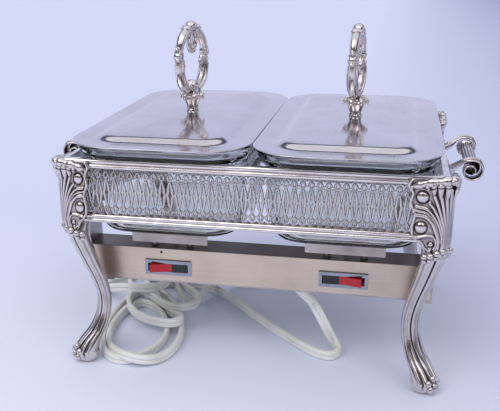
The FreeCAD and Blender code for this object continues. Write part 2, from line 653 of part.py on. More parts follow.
def loops(outline, z0, z1):
    """A solid of the outer shape of some loops of cord, lying level."""
    edge = Part.BSplineCurve()
    edge.interpolate([Vector(x, y, z0) for x, y in outline], True)
    return Part.Face(Part.Wire([edge.toShape()])).extrude(Vector(0, 0, z1 - z0))


def make_cord():
    direction = Vector(GLAND_DIRECTION).normalize()
    gland = Part.makeCone(7.5, CORD_R + 0.4, GLAND_LENGTH, GLAND_ROOT, direction)
    seat = Part.makeCylinder(8.0, 6, Vector(GLAND_ROOT.x, GLAND_ROOT.y, CASE_BASE_Z - CASE_SHEET))
    save("cord_gland", gland.cut(block(0, 90, -120, -50, CASE_BASE_Z - CASE_SHEET, 100))
         .fuse(seat).removeSplitter())
    save("cord", tube(CORD_ROUTE, CORD_R, "cord"))
    save("cord_tail", tube(TAIL_ROUTE, CORD_R, "cord_tail"))
    flat_loops = loops(FLAT_LOOPS_OUTLINE, HANK_FLOOR_Z, FLAT_LOOPS_TOP_Z)
    bundle = loops(BUNDLE_OUTLINE, HANK_FLOOR_Z, BUNDLE_TOP_Z)
    save("cord_hank", flat_loops.fuse(bundle).removeSplitter())


def make_plug():
    """A two-pin plug lying at the end of the cord, its pins pointing along +X."""
    end = Vector(*TAIL_ROUTE[-1])
    along = (end - Vector(*TAIL_ROUTE[-2])).normalize()
    neck = Part.makeCone(CORD_R + 0.6, 7.5, 10, ORIGIN, Vector(1, 0, 0))
    body = block(10, 32, -12, 12, -7.5, 7.5)
    body = body.makeFillet(3, body.Edges)
    pins = [block(32, 48, y - 3.2, y + 3.2, -0.8, 0.8) for y in (-6.4, 6.4)]
    plug = neck.fuse([body] + pins).removeSplitter()
    plug.rotate(ORIGIN, UP, math.degrees(math.atan2(along.y, along.x)))
    plug.translate(end)
    save("plug", plug)


make_galleries()
make_rails()
make_centre_bar()
make_legs()
make_end_handles()
for dish_side in SIDES:
    make_dish(dish_side)
    make_lid(dish_side)
    make_lid_handle(dish_side)
    make_switch(dish_side)
make_hangers()
make_case()
make_hot_plates()
make_wiring()
make_cord()
make_plug()
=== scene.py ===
# %% [markdown]
# # A food warmer tray, dressed
#
# The imported part comes in first. Each of its solids is an object that already sits in its
# place, so every piece below is built in the same coordinates, with its floor at z = 0.

# %% Load the frame
import json
import math

import bpy
import numpy as np
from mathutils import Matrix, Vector
from mathutils.bvhtree import BVHTree


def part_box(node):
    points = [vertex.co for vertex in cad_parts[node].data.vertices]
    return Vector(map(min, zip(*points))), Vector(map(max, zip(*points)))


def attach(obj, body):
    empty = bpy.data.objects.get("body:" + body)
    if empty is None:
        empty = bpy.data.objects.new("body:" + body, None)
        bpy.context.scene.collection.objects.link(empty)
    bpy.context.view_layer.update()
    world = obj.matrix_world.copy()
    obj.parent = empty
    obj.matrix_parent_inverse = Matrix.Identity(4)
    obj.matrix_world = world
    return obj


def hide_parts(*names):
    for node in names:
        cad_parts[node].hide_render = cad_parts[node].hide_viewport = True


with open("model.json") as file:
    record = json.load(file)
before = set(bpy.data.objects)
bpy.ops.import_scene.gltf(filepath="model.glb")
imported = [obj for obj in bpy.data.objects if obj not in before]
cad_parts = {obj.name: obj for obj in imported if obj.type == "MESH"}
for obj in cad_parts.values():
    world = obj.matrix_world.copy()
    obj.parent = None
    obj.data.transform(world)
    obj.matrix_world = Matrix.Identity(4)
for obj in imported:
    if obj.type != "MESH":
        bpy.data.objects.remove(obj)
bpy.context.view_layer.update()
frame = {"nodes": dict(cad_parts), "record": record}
print("solids in the frame:", len(frame["nodes"]))

# %% [markdown]
# A workshop drawing of tableware is in millimetres and Blender counts in metres. All the
# shapes below are worked out in millimetres and scaled once, when a mesh is made.

# %% Millimetres
MM = 0.001


def corners(node):
    """Lowest and highest corner of a solid, in millimetres."""
    low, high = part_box(node)
    return np.array(low) / MM, np.array(high) / MM


print("stand top rail:", corners("top_rail_front"))

# %% [markdown]
# ## The camera
#
# The camera stands a little to the right of the tray and looks down at it by about eighteen
# degrees. Its place was found from the stand's corners, so it is typed in as numbers.

# %% Camera
SENSOR_WIDTH, LENS = 36.0, 57.32    # mm
EYE = (0.1277, -0.8058, 0.3926)     # m
TILT, TURN = 72.16, 10.65           # degrees; a tilt of 90 would look level
NEAREST, FARTHEST = 0.05, 60.0      # m

camera_data = bpy.data.cameras.new("view_camera")
camera_data.sensor_width = SENSOR_WIDTH
camera_data.lens = LENS
camera_data.clip_start, camera_data.clip_end = NEAREST, FARTHEST
camera = bpy.data.objects.new("view_camera", camera_data)
camera.location = EYE
camera.rotation_euler = (math.radians(TILT), 0.0, math.radians(TURN))
bpy.context.scene.collection.objects.link(camera)
bpy.context.scene.camera = camera
print("camera at", tuple(camera.location))

# %% [markdown]
# ## A small language for finishes
#
# A finish is a node tree. Two small classes let it be written as sums: `Wire` wraps an
# output socket, so that `1 - mask` adds a Math node, and `Finish.add` makes any other node.

# %% Wires and finishes
class Wire:
    """An output socket that can be used in sums."""

    def __init__(self, finish, socket):
        self.finish = finish
        self.socket = socket

    def maths(self, operation, first, second):
        return self.finish.add("ShaderNodeMath", {"operation": operation}, {0: first, 1: second})

    def __add__(self, other):
        return self.maths("ADD", self, other)

    def __sub__(self, other):
        return self.maths("SUBTRACT", self, other)

    def __rsub__(self, other):
        return self.maths("SUBTRACT", other, self)

    def __mul__(self, other):
        return self.maths("MULTIPLY", self, other)

    def __truediv__(self, other):
        return self.maths("DIVIDE", self, other)

    __radd__ = __add__
    __rmul__ = __mul__


class Finish:
    """A material with one main shader, whose nodes are added by add()."""

    def __init__(self, name, **fixed):
        self.material = bpy.data.materials.new(name)
        self.material.use_nodes = True
        self.tree = self.material.node_tree
        self.shader = self.tree.nodes["Principled BSDF"]
        for socket, value in fixed.items():
            self.shader.inputs[socket.replace("_", " ")].default_value = value

    def plug(self, socket, value):
        if isinstance(value, Wire):
            self.tree.links.new(value.socket, socket)
        else:
            socket.default_value = value

    def add(self, kind, settings, sockets, output=0):
        node = self.tree.nodes.new(kind)
        for name, value in settings.items():
            if name == "stops":
                ramp = node.color_ramp
                while len(ramp.elements) < len(value):
                    ramp.elements.new(0.5)
                for element, (place, colour) in zip(ramp.elements, value):
                    element.position = place
                    element.color = colour
            else:
                setattr(node, name, value)
        for name, value in sockets.items():
            self.plug(node.inputs[name], value)
        return Wire(self, node.outputs[output])

    def drive(self, **driven):
        for socket, value in driven.items():
            self.plug(self.shader.inputs[socket.replace("_", " ")], value)

    def place(self):
        """The point on the object, in metres."""
        return self.add("ShaderNodeTexCoord", {}, {}, "Object")

    def stretched(self, scale):
        """The point on the object, scaled by a number for each axis."""
        sockets = {0: self.place(), 1: scale}
        return self.add("ShaderNodeVectorMath", {"operation": "MULTIPLY"}, sockets)

    def axis(self, name):
        """One coordinate of the point, in millimetres."""
        return self.add("ShaderNodeSeparateXYZ", {}, {0: self.place()}, name) * 1000.0

    def noise(self, size, detail=2.0, where=None):
        """Soft noise from 0 to 1, with blotches of about `size` millimetres."""
        sockets = {"Vector": where or self.place(), "Scale": 1.0 / (size * MM), "Detail": detail}
        return self.add("ShaderNodeTexNoise", {}, sockets)

    def ramp(self, value, *stops):
        """A number from a number: pairs of place and height."""
        grey = [(place, (height, height, height, 1.0)) for place, height in stops]
        return self.add("ShaderNodeValToRGB", {"stops": grey}, {0: value})

    def mix(self, factor, first, second):
        sockets = {0: factor, 6: first, 7: second}
        return self.add("ShaderNodeMix", {"data_type": "RGBA"}, sockets, 2)

    def bump(self, height, depth):
        """A bump of `depth` millimetres where the height is 1."""
        sockets = {"Height": height, "Distance": depth * MM, "Strength": 1.0}
        return self.add("ShaderNodeBump", {}, sockets)

    def worn(self, name):
        """A number painted on the mesh, such as how deep a point lies."""
        return self.add("ShaderNodeAttribute", {"attribute_name": name}, {}, "Fac")


def colour(red, green, blue):
    """A screen colour from 0 to 255, as the light value that a shader wants."""
    light = [((c / 255 + 0.055) / 1.055) ** 2.4 if c > 10 else c / 255 / 12.92
             for c in (red, green, blue)]
    return (*light, 1.0)


print("a mid grey is", round(colour(128, 128, 128)[0], 3))

# %% [markdown]
# ## Clay
#
# Every new piece is collected in a lump of "clay": skins lofted through rings of points,
# rods swept along a path, and balls. Casting a lump turns it into one Blender object.

# %% Clay
SPAN_STEPS = 24    # fine steps between two given points of a curve
POLE_TILT = 1.45   # radians; the last ring of a ball is this near its pole


def curve_through(points, count):
    """A smooth path through the given points, with even steps (a Catmull-Rom curve)."""
    points = np.array(points, float)
    first, last = 2 * points[0] - points[1], 2 * points[-1] - points[-2]
    knots = np.concatenate([[first], points, [last]])
    t = np.linspace(0, 1, SPAN_STEPS, endpoint=False)[:, None]
    fine = []
    for before, start, end, after in zip(knots, knots[1:], knots[2:], knots[3:]):
        bend = 2 * before - 5 * start + 4 * end - after
        twist = -before + 3 * start - 3 * end + after
        fine.append(0.5 * (2 * start + (end - before) * t + bend * t**2 + twist * t**3))
    fine = np.concatenate(fine + [points[-1:]])
    lengths = np.concatenate([[0], np.cumsum(np.linalg.norm(np.diff(fine, axis=0), axis=1))])
    steps = np.linspace(0, lengths[-1], count)
    return np.stack([np.interp(steps, lengths, fine[:, k]) for k in range(points.shape[1])], 1)


def full_turn(count):
    """Evenly spaced angles round a circle."""
    return np.linspace(0, 2 * np.pi, count, endpoint=False)


def at_height(plan, height):
    """Lifts (x, y) points to one height."""
    return np.column_stack([plan, np.full(len(plan), height)])


class Clay:
    """Rods, balls and skins that one piece is made of."""

    def __init__(self):
        self.points = []
        self.faces = []

    def skin(self, rings, round_shut=True, caps=True, ends_meet=False):
        """Joins rings with the same number of points, each to the next."""
        rings = [np.asarray(ring, float) for ring in rings]
        first, size = len(self.points), len(rings[0])
        for ring in rings:
            self.points.extend(map(tuple, ring))
        rows = len(rings)
        for row in range(rows if ends_meet else rows - 1):
            a, b = first + row * size, first + (row + 1) % rows * size
            for k in range(size if round_shut else size - 1):
                j = (k + 1) % size
                self.faces.append((a + k, a + j, b + j, b + k))
        if caps and round_shut and not ends_meet:
            self.faces.append(tuple(first + k for k in reversed(range(size))))
            self.faces.append(tuple(first + (rows - 1) * size + k for k in range(size)))

    def rod(self, path, radius, sides=10, flat=1.0, up=(0, 0, 1), shut=False):
        """A rod along a path. `flat` scales its thickness along `up`."""
        path = np.asarray(path, float)
        radius = np.broadcast_to(radius, len(path))
        flat = np.broadcast_to(flat, len(path))
        along = np.gradient(path, axis=0)
        if shut:
            along = np.roll(path, -1, 0) - np.roll(path, 1, 0)
        along /= np.linalg.norm(along, axis=1)[:, None]
        rings = []
        turn = full_turn(sides)
        for point, heading, r, squeeze in zip(path, along, radius, flat):
            lift = np.array(up, float)
            lift = lift - heading * lift.dot(heading)
            if np.linalg.norm(lift) < 0.05:
                lift = np.array([0.0, 1.0, 0.0]) - heading * heading[1]
            lift /= np.linalg.norm(lift)
            across = np.cross(lift, heading)
            ring = np.cos(turn)[:, None] * across + squeeze * np.sin(turn)[:, None] * lift
            rings.append(point + r * ring)
        self.skin(rings, ends_meet=shut)

    def ball(self, centre, radius, sides=14):
        """A ball, or an egg when `radius` has three numbers."""
        radius = np.broadcast_to(np.array(radius, float), 3)
        turn = full_turn(sides)
        rings = []
        for tilt in np.linspace(-POLE_TILT, POLE_TILT, sides // 2 + 1):
            plan = np.stack([np.cos(tilt) * np.cos(turn), np.cos(tilt) * np.sin(turn)], 1)
            rings.append(np.array(centre) + at_height(plan, np.sin(tilt)) * radius)
        self.skin(rings)

    def add(self, other, move=lambda points: points, flip=False):
        """Adds a copy of another lump, moved by a function."""
        first = len(self.points)
        moved = move(np.array(other.points, float))
        self.points.extend(map(tuple, moved))
        step = -1 if flip else 1
        self.faces.extend(tuple(first + k for k in face[::step]) for face in other.faces)

    def cast(self, name, finish=None, smooth=True):
        """Makes the Blender object."""
        mesh = bpy.data.meshes.new(name)
        mesh.from_pydata([(x * MM, y * MM, z * MM) for x, y, z in self.points], [], self.faces)
        mesh.validate()
        if smooth:
            mesh.shade_smooth()
        piece = bpy.data.objects.new(name, mesh)
        bpy.context.scene.collection.objects.link(piece)
        if finish:
            mesh.materials.append(finish.material)
        return piece


test_path = curve_through([(0, 0, 0), (5, 0, 3), (10, 0, 0)], 9)
print("a test path rises to", round(float(test_path[:, 2].max()), 2), "mm")

# %% [markdown]
# Cast metal has soft joints where its parts meet. A voxel remesh melts overlapping rods and
# balls into one skin, and a few rounds of smoothing take the voxels' stair steps away. The
# lids' handles are made so. Legs and end handles keep their own, lighter skins.

# %% Melting a lump together
def fresh_mesh(piece):
    """Applies a piece's modifiers."""
    graph = bpy.context.evaluated_depsgraph_get()
    mesh = bpy.data.meshes.new_from_object(piece.evaluated_get(graph))
    piece.modifiers.clear()
    piece.data = mesh
    return piece


def melt(piece, voxel, rounds=3):
    """Fuses a piece into one skin with faces of about `voxel` millimetres."""
    remesh = piece.modifiers.new("melt", "REMESH")
    remesh.mode = "VOXEL"
    remesh.voxel_size = voxel * MM
    remesh.use_smooth_shade = True
    smooth = piece.modifiers.new("soften", "SMOOTH")
    smooth.factor = 0.5
    smooth.iterations = rounds
    return fresh_mesh(piece)


print("melting tools are ready")

# %% [markdown]
# Polish reaches the high places of a casting and leaves its hollows black. To know which is
# which, every point of a mesh gets a number for how sunk it is, from two looks that are
# added up. Short rays feel how enclosed the point is, and a smoothed copy of the mesh shows
# whether the point stands above or below its surroundings.

# %% Tarnish
FAN_WIDTH = 0.85          # 1 would open the fan of rays to a whole half sphere
GOLDEN_ANGLE = 2.39996    # radians from one ray of the fan to the next
RAY_LIFT = 0.0002         # m, so that a ray misses the face it starts from
ENCLOSED, BELOW = 1.1, 0.5    # weights of the two looks


def fan_of_rays(rays):
    """Directions spread evenly over a cap, as (side, other side, out) numbers."""
    spiral = (np.arange(rays) + 0.5) / rays
    height, turn = np.sqrt(1 - FAN_WIDTH * spiral), np.arange(rays) * GOLDEN_ANGLE
    wide = np.sqrt(1 - height**2)
    return np.stack([wide * np.cos(turn), wide * np.sin(turn), height], 1)


def per_point(values, name, kind, width):
    """Reads one property of a mesh's points or edges into an array."""
    read = np.zeros(len(values) * width, kind)
    values.foreach_get(name, read)
    return read.reshape(-1, width)


def paint(mesh, depths):
    """Keeps a number for each point under the name that the finishes read."""
    layer = mesh.attributes.new("recess", "FLOAT", "POINT")
    layer.data.foreach_set("value", depths.astype(np.float32))


def tarnish(piece, reach=4.0, rays=10, soften=14, relief=0.45, open_air=0.22):
    """Paints how sunk each point is: 0 on an edge, `open_air` in the open, 1 in a pit."""
    mesh = piece.data
    count = len(mesh.vertices)
    places = per_point(mesh.vertices, "co", np.float32, 3)
    normals = per_point(mesh.vertex_normals, "vector", np.float32, 3)
    one, two = per_point(mesh.edges, "vertices", np.int64, 2).T
    joined = np.bincount(one, minlength=count) + np.bincount(two, minlength=count)
    joined = np.maximum(joined, 1)[:, None]
    soft = places.astype(float)
    for _ in range(soften):
        sums = [np.bincount(one, soft[two, k], count) + np.bincount(two, soft[one, k], count)
                for k in range(3)]
        soft = np.stack(sums, 1) / joined
    sunk = np.einsum("ij,ij->i", soft - places, normals) / (relief * MM)
    tree = BVHTree.FromPolygons(places.tolist(), [tuple(p.vertices) for p in mesh.polygons])
    helper = np.where(np.abs(normals[:, 2:]) < 0.9, [[0.0, 0.0, 1.0]], [[1.0, 0.0, 0.0]])
    side = np.cross(normals, helper)
    side /= np.maximum(np.linalg.norm(side, axis=1), 1e-9)[:, None]
    other = np.cross(normals, side)
    closed = np.zeros(count)
    for across, along, out in fan_of_rays(rays):
        aims = side * across + other * along + normals * out
        for k in range(count):
            start = Vector(places[k] + normals[k] * RAY_LIFT)
            hit = tree.ray_cast(start, Vector(aims[k]), reach * MM)
            if hit[0] is not None:
                closed[k] += 1 - hit[3] / (reach * MM)
    depth = open_air + ENCLOSED * closed / rays + BELOW * np.clip(sunk, -0.6, 1.2)
    depth = np.clip(depth, 0, 1)
    paint(mesh, depth)
    return depth.mean()


print("rays in a fan of ten:", fan_of_rays(10).shape)

# %% [markdown]
# ## The cord
#
# The cord is a flat two-core heater cord, ten millimetres wide. It leaves the bar through a
# tapered strain relief, runs down to the table and back under the bar, and lies there in
# loose folds that stand on edge. A NURBS curve is a good stand-in for a cord: it never
# kinks, and its control points are easy to nudge.

# %% Route of the cord
LIE = 5.3    # height of the cord's middle where it lies on the table
cord_run = [(54.6, -82.2, 59.5), (64, -80.5, 42), (71.5, -77, 24), (78, -72, 9), (84, -80, LIE),
            (75, -93, LIE), (57, -86, LIE), (35, -66, LIE), (8, -39, LIE), (-20, -9, LIE),
            (-46, 21, LIE), (-71, 46, LIE), (-96, 58, LIE)]
outer_loop = [(-122, 60, LIE), (-147, 50, LIE), (-162, 27, LIE), (-170, -8, LIE), (-171, -47, LIE),
              (-165, -88, LIE), (-153, -120, LIE), (-136, -138, LIE), (-117, -134, LIE),
              (-103, -114, LIE), (-98, -88, LIE), (-102, -60, LIE), (-114, -35, LIE),
              (-132, -12, LIE), (-150, -2, LIE)]
second_loop = [(-161, -20, LIE), (-164, -52, LIE), (-159, -88, 6), (-148, -118, 9),
               (-129, -139, 13), (-106, -141, 9), (-89, -127, LIE), (-82, -101, LIE),
               (-84, -71, LIE), (-92, -42, LIE), (-104, -16, LIE), (-120, 8, 8),
               (-140, 20, 13)]
middle_loop = [(-157, 10, 16), (-162, -12, 16), (-154, -36, 13), (-132, -57, 13), (-111, -69, 15.6),
               (-94, -71, 15.6), (-86, -58, 15.6), (-95, -43, 12), (-110, -28, 7), (-124, -8, 8),
               (-140, 8, 16), (-154, 22, 21), (-151, 38, 18)]
right_loop = [(-132, 45, 15.6), (-110, 29, 15.6), (-91, 11, 15.6), (-80, -6, 15.6),
              (-84, -25, 15.6), (-103, -33, 15.6), (-122, -21, 15.6)]
wrap = [(-138, -3, 16), (-158, 6, 16), (-174, 20, 17), (-168, 36, 23), (-148, 38, 27),
        (-130, 28, 28), (-121, 11, 27), (-130, -6, 26), (-150, -10, 25), (-170, -6, 24),
        (-188, 2, 18), (-203, 18, 8), (-205, 42, LIE), (-190, 60, LIE), (-168, 62, 12),
        (-146, 52, 22), (-126, 36, 24), (-113, 18, 17)]
cord_end = [(-103, 6, 8), (-92, 4, LIE), (-86, 20, 7), (-79, 37, 15.8), (-68, 57, 15.8),
            (-53, 74, 9), (-32, 91, 7), (-6, 99, 7.8)]
cord_points = cord_run + outer_loop + second_loop + middle_loop + right_loop + wrap + cord_end
print("control points on the cord:", len(cord_points))

# %% [markdown]
# The section of the cord is an upright oblong with rounded ends and a groove in the middle
# of each broad side, where its two cores meet. It is drawn as a hidden curve and given to
# the cord as its bevel, with the twist locked to the vertical so that the cord stands on edge.

# %% Section of the cord
def groove_section(height=10.0, thick=5.4, groove=1.35):
    """Points round the section; the grooves leave a thin bridge between the cores."""
    half, radius = height / 2, thick / 2
    side = []
    for angle in np.linspace(90, 18, 6):
        a = math.radians(angle)
        side.append((radius * math.cos(a) ** 0.6, half - radius + radius * math.sin(a)))
    side += [(radius, 1.3), (radius - 0.2, 0.55), (radius - groove, 0.0)]
    right = side + [(x, -y) for x, y in reversed(side[:-1])]
    left = [(-x, y) for x, y in reversed(right)]
    return right + left[1:-1]


def draw_line(curve, kind, points):
    """Adds one line to a curve, through points in millimetres."""
    line = curve.splines.new(kind)
    line.points.add(len(points) - 1)
    for knot, place in zip(line.points, points):
        knot.co = (*(MM * number for number in place), 1.0)
    return line


section_curve = bpy.data.curves.new("cord_section", "CURVE")
section_curve.dimensions = "2D"
section_points = groove_section()
section_line = draw_line(section_curve, "POLY", [(x, y, 0.0) for x, y in section_points])
section_line.use_cyclic_u = True
cord_section = bpy.data.objects.new("cord_section", section_curve)
cord_section.hide_render = True
cord_section.hide_viewport = True
bpy.context.scene.collection.objects.link(cord_section)
print("points round the cord:", len(section_points))

# %% [markdown]
# The curve is drawn through the route's points, and the section is swept along it. Ivory
# PVC has a fine grain and takes on grime in soft blotches.

# %% The cord itself
cord_curve = bpy.data.curves.new("heater_cord", "CURVE")
cord_curve.dimensions = "3D"
cord_curve.twist_mode = "Z_UP"
cord_curve.resolution_u = 10
cord_line = draw_line(cord_curve, "NURBS", cord_points)
cord_line.order_u = 3
cord_line.use_endpoint_u = True
cord_curve.bevel_mode = "OBJECT"
cord_curve.bevel_object = cord_section
cord_curve.use_fill_caps = True
heater_cord = bpy.data.objects.new("heater_cord", cord_curve)
bpy.context.scene.collection.objects.link(heater_cord)

pvc = Finish("ivory_pvc", Roughness=0.42, Specular_IOR_Level=0.4)
grime = pvc.ramp(pvc.noise(26.0, 3.0), (0.42, 0.0), (0.72, 1.0))
fine = pvc.noise(1.2, 2.0)
pvc.drive(Base_Color=pvc.mix(grime * 0.7, colour(230, 231, 227), colour(204, 203, 194)),
          Roughness=0.38 + 0.16 * grime, Normal=pvc.bump(fine, 0.05))
cord_curve.materials.append(pvc.material)
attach(heater_cord, "stand")
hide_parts("cord", "cord_hank", "cord_tail")
print("the cord follows", len(cord_points), "points")

# %% [markdown]
# ## The room
#
# A pale lilac paper top, under two broad suns and a plain sky that light the tray at the
# level where a colour renders as it is written. The paper's colour carries painted light and
# painted shade: it is painted lightest near the camera and painted a little darker towards
# the right, the more so the farther it lies, as lamps on the left would light it. It is one
# flat sheet, so its point on the object drives all that.

# %% Table top
TABLE_HALF = 9000    # mm
# the near colour is painted light near the camera, the shaded colour is painted shade towards the
# right, and the blotched colour is the paper's own mottle
far_paper, near_paper_painted_light = colour(212, 217, 243), colour(240, 243, 255)
shaded_paper, blotched_paper = colour(150, 154, 190), colour(206, 209, 236)

table = Finish("table_top", Roughness=0.9, Specular_IOR_Level=0.1)
away = table.axis("Y") * 0.001
# painted shade: the paper darkens towards the right, the more so the farther it lies
shade_slant = table.ramp(table.axis("X") * 0.001 / (away + 1.3) * 2.0, (0.0, 0.0), (1.0, 0.5))
painted_shade = shade_slant * (0.5 + 0.36 * away)
mottle = table.noise(90.0, 2.0)
# painted light: the paper lightens towards the camera
painted_near_light = table.ramp(0.3 - away, (0.0, 0.0), (0.75, 1.0))
paper = table.mix(painted_shade * 2.6, table.mix(painted_near_light, far_paper, near_paper_painted_light), shaded_paper)
table.drive(Base_Color=table.mix(mottle * 0.08, paper, blotched_paper))
edges = [[(-TABLE_HALF, y, 0), (TABLE_HALF, y, 0)] for y in (-TABLE_HALF, TABLE_HALF)]
floor_lump = Clay()
floor_lump.skin(edges, round_shut=False, caps=False)
floor = floor_lump.cast("table_top", table, smooth=False)
print("table top is", 2 * TABLE_HALF * MM, "m wide")

# %% [markdown]
# Polished silver is only as good as what it mirrors. Glossy rays, such as those that come
# off metal, see a studio: pale paper low down behind the tray, a dark gap above the paper's
# edge, a white tent overhead, and a dim room on the camera's side. Rays that went through
# glass see the same studio, half lightened, so that the dishes stay clear. The camera sees
# a plain pale backdrop, and every other ray sees an even sky.
#
# The world has a node tree too, so it is written in the same way as a finish.

# %% Sky
class Sky(Finish):
    """The world, with its Background node as the main shader."""

    def __init__(self, name):
        self.world = bpy.data.worlds.new(name)
        self.world.use_nodes = True
        self.tree = self.world.node_tree
        self.shader = self.tree.nodes["Background"]

    def by_height(self, height, *stops):
        """Colours by height above the horizon: 0 is level, 1 is straight up."""
        tints = [(place, colour(*tint)) for place, tint in stops]
        return self.add("ShaderNodeValToRGB", {"stops": tints}, {0: height})

    def ray(self, kind):
        """1 for rays of one kind, 0 for all others."""
        return self.add("ShaderNodeLightPath", {}, {}, f"Is {kind} Ray")


sky = Sky("studio")
bpy.context.scene.world = sky.world
heading = sky.add("ShaderNodeTexCoord", {}, {}, "Generated")
height = sky.add("ShaderNodeSeparateXYZ", {}, {0: heading}, "Z")
backward = sky.add("ShaderNodeSeparateXYZ", {}, {0: heading}, "Y")
behind = sky.by_height(height, (0.0, (214, 218, 244)), (0.40, (206, 211, 240)),
                       (0.47, (92, 98, 124)), (0.62, (84, 88, 108)),
                       (0.68, (250, 251, 255)), (1.0, (236, 238, 248)))
in_front = sky.by_height(height, (0.0, (150, 142, 140)), (0.22, (98, 91, 90)),
                         (0.50, (74, 72, 79)), (0.66, (120, 118, 124)),
                         (0.78, (240, 240, 246)), (1.0, (236, 238, 248)))
side_on = sky.add("ShaderNodeMapRange", {"interpolation_type": "SMOOTHSTEP"},
                  {"Value": backward, "From Min": -0.35, "From Max": 0.25})
studio = sky.mix(side_on, in_front, behind)
print("sky nodes:", len(sky.tree.nodes))

# %% Which ray sees what
EVEN_SKY = (0.74, 0.745, 0.80, 1.0)

glassy = sky.ray("Transmission")
sharp = glassy.maths("MAXIMUM", sky.ray("Glossy"), glassy)
cleared = sky.mix(glassy * 0.5, studio, colour(214, 218, 232))
seen = sky.mix(sharp, EVEN_SKY, cleared)
sky.drive(Color=sky.mix(sky.ray("Camera"), seen, colour(214, 219, 244)), Strength=1.0)
print("sky nodes with the rays sorted:", len(sky.tree.nodes))

# %% Suns
def soft_sun(name, azimuth, height, spread, strength, tint):
    """A broad sun: azimuth is clockwise from the camera's side, height above the table."""
    data = bpy.data.lights.new(name, "SUN")
    data.angle = math.radians(spread)
    data.energy = strength
    data.color = tint
    lamp = bpy.data.objects.new(name, data)
    a, h = math.radians(azimuth), math.radians(height)
    place = Vector((-math.sin(a) * math.cos(h), -math.cos(a) * math.cos(h), math.sin(h)))
    lamp.rotation_euler = place.to_track_quat("Z", "Y").to_euler()
    lamp.location = place * 3
    bpy.context.scene.collection.objects.link(lamp)


soft_sun("main_sun", 34, 50, 40, 0.82, (1.0, 0.99, 0.97))
soft_sun("side_sun", -38, 42, 36, 0.32, (1.0, 0.98, 0.96))
bpy.context.scene.view_settings.view_transform = "Standard"

# %% [markdown]
# ## Silver
#
# All the silver here is the same plate over different metal, so the finishes share one
# recipe: a bright warm grey, and tarnish that turns the recesses brown-black and dull. How
# sunk a point is comes from the number that is painted on each cast or pierced mesh. Smooth
# spun pieces have no recesses, only faint smears and scratches.

# %% Silver finishes
def silver(name, bright, flat, dull, polish, grain=0.0):
    """Edges stay bright, open faces are half dulled, and recesses are black with tarnish."""
    finish = Finish(name, Metallic=1.0, Specular_IOR_Level=0.5)
    depth = finish.worn("recess")
    smear = finish.ramp(finish.noise(11.0, 4.0), (0.38, 0.0), (0.74, 1.0))
    faces = finish.ramp(depth + 0.10 * smear, (0.06, 0.0), (0.32, 1.0))
    pits = finish.ramp(depth + 0.06 * smear, (0.38, 0.0), (0.80, 1.0))
    # what stands high on the tray is polished more often and keeps less patina
    high = finish.ramp(finish.axis("Z") * 0.001, (0.235, 0.0), (0.25, 1.0))
    patina = finish.mix(high * 0.7, flat, bright)
    finish.drive(Base_Color=finish.mix(pits, finish.mix(faces, bright, patina), dull),
                 Roughness=polish + 0.06 * faces + 0.28 * pits + 0.05 * smear)
    if grain:
        finish.drive(Normal=finish.bump(finish.noise(0.9, 2.0), grain))
    return finish


cast_silver = silver("cast_silver", bright=colour(222, 216, 215), flat=colour(164, 155, 156),
                     dull=colour(74, 66, 66), polish=0.16, grain=0.05)
pierced_silver = silver("pierced_silver", bright=colour(212, 207, 206),
                        flat=colour(168, 159, 158), dull=colour(70, 62, 60),
                        polish=0.20, grain=0.03)
moulding_silver = Finish("silver_moulding", Metallic=1.0)
rub = moulding_silver.ramp(moulding_silver.noise(18.0, 4.0), (0.35, 0.0), (0.8, 1.0))
rubbed = moulding_silver.mix(rub * 0.45, colour(238, 234, 234), colour(172, 162, 158))
moulding_silver.drive(Base_Color=rubbed, Roughness=0.13 + 0.14 * rub)
print("silver finishes:", [cast_silver.material.name, pierced_silver.material.name])

# %% [markdown]
# The lids are spun and pressed sheet, polished like a mirror. What tells the eye that this
# is metal and not a piece of sky is its wear: hair-fine scratches that run mostly along the
# lid, and a faint cloudiness.

# %% Mirror silver
mirror = Finish("mirror_silver", Metallic=1.0)
cloud = mirror.ramp(mirror.noise(60.0, 4.0), (0.35, 0.0), (0.75, 1.0))
hair = mirror.noise(1.0, 4.0, mirror.stretched((0.55, 0.02, 0.5)))
cross_hair = mirror.noise(1.0, 4.0, mirror.stretched((0.04, 0.4, 0.5)))
scratch = mirror.ramp(hair * 0.5 + cross_hair * 0.5, (0.52, 0.0), (0.66, 1.0))
wear = cloud * 0.5 + scratch * 0.25
mirror.drive(Base_Color=mirror.mix(wear, colour(222, 218, 222), colour(188, 178, 180)),
             Roughness=0.10 + 0.05 * cloud + 0.10 * scratch, Normal=mirror.bump(hair, 0.012))
print("mirror finish made")

# %% [markdown]
# ## Lids
#
# Each lid is one pressed sheet: a flat flange with rounded corners, a soft step up, and a
# panel that rises a little more towards its middle. The real one is stamped in a die. Here
# rings of rounded rectangles step from the middle out to the edge and back underneath,
# which keeps the faces in neat rows that mirror the room without ripples.

# %% Rounded rectangles
def rounded(half_x, half_y, radius, z, count=28, middle=(0.0, 0.0)):
    """Points round a rectangle with rounded corners, evenly matched from ring to ring."""
    ring = []
    for sign_x, sign_y, start in ((1, 1, 0), (-1, 1, 90), (-1, -1, 180), (1, -1, 270)):
        centre_x, centre_y = sign_x * (half_x - radius), sign_y * (half_y - radius)
        for angle in np.linspace(start, start + 90, count):
            a = math.radians(angle)
            ring.append((middle[0] + centre_x + radius * math.cos(a),
                         middle[1] + centre_y + radius * math.sin(a), z))
    return ring


test_ring = rounded(10, 20, 4, 0)
print("points round a rectangle:", len(test_ring))

# %% Pressed lids
DISH_X = 85.15
SIDES = (("left", -DISH_X), ("right", DISH_X))
LID_CREST = 231.6
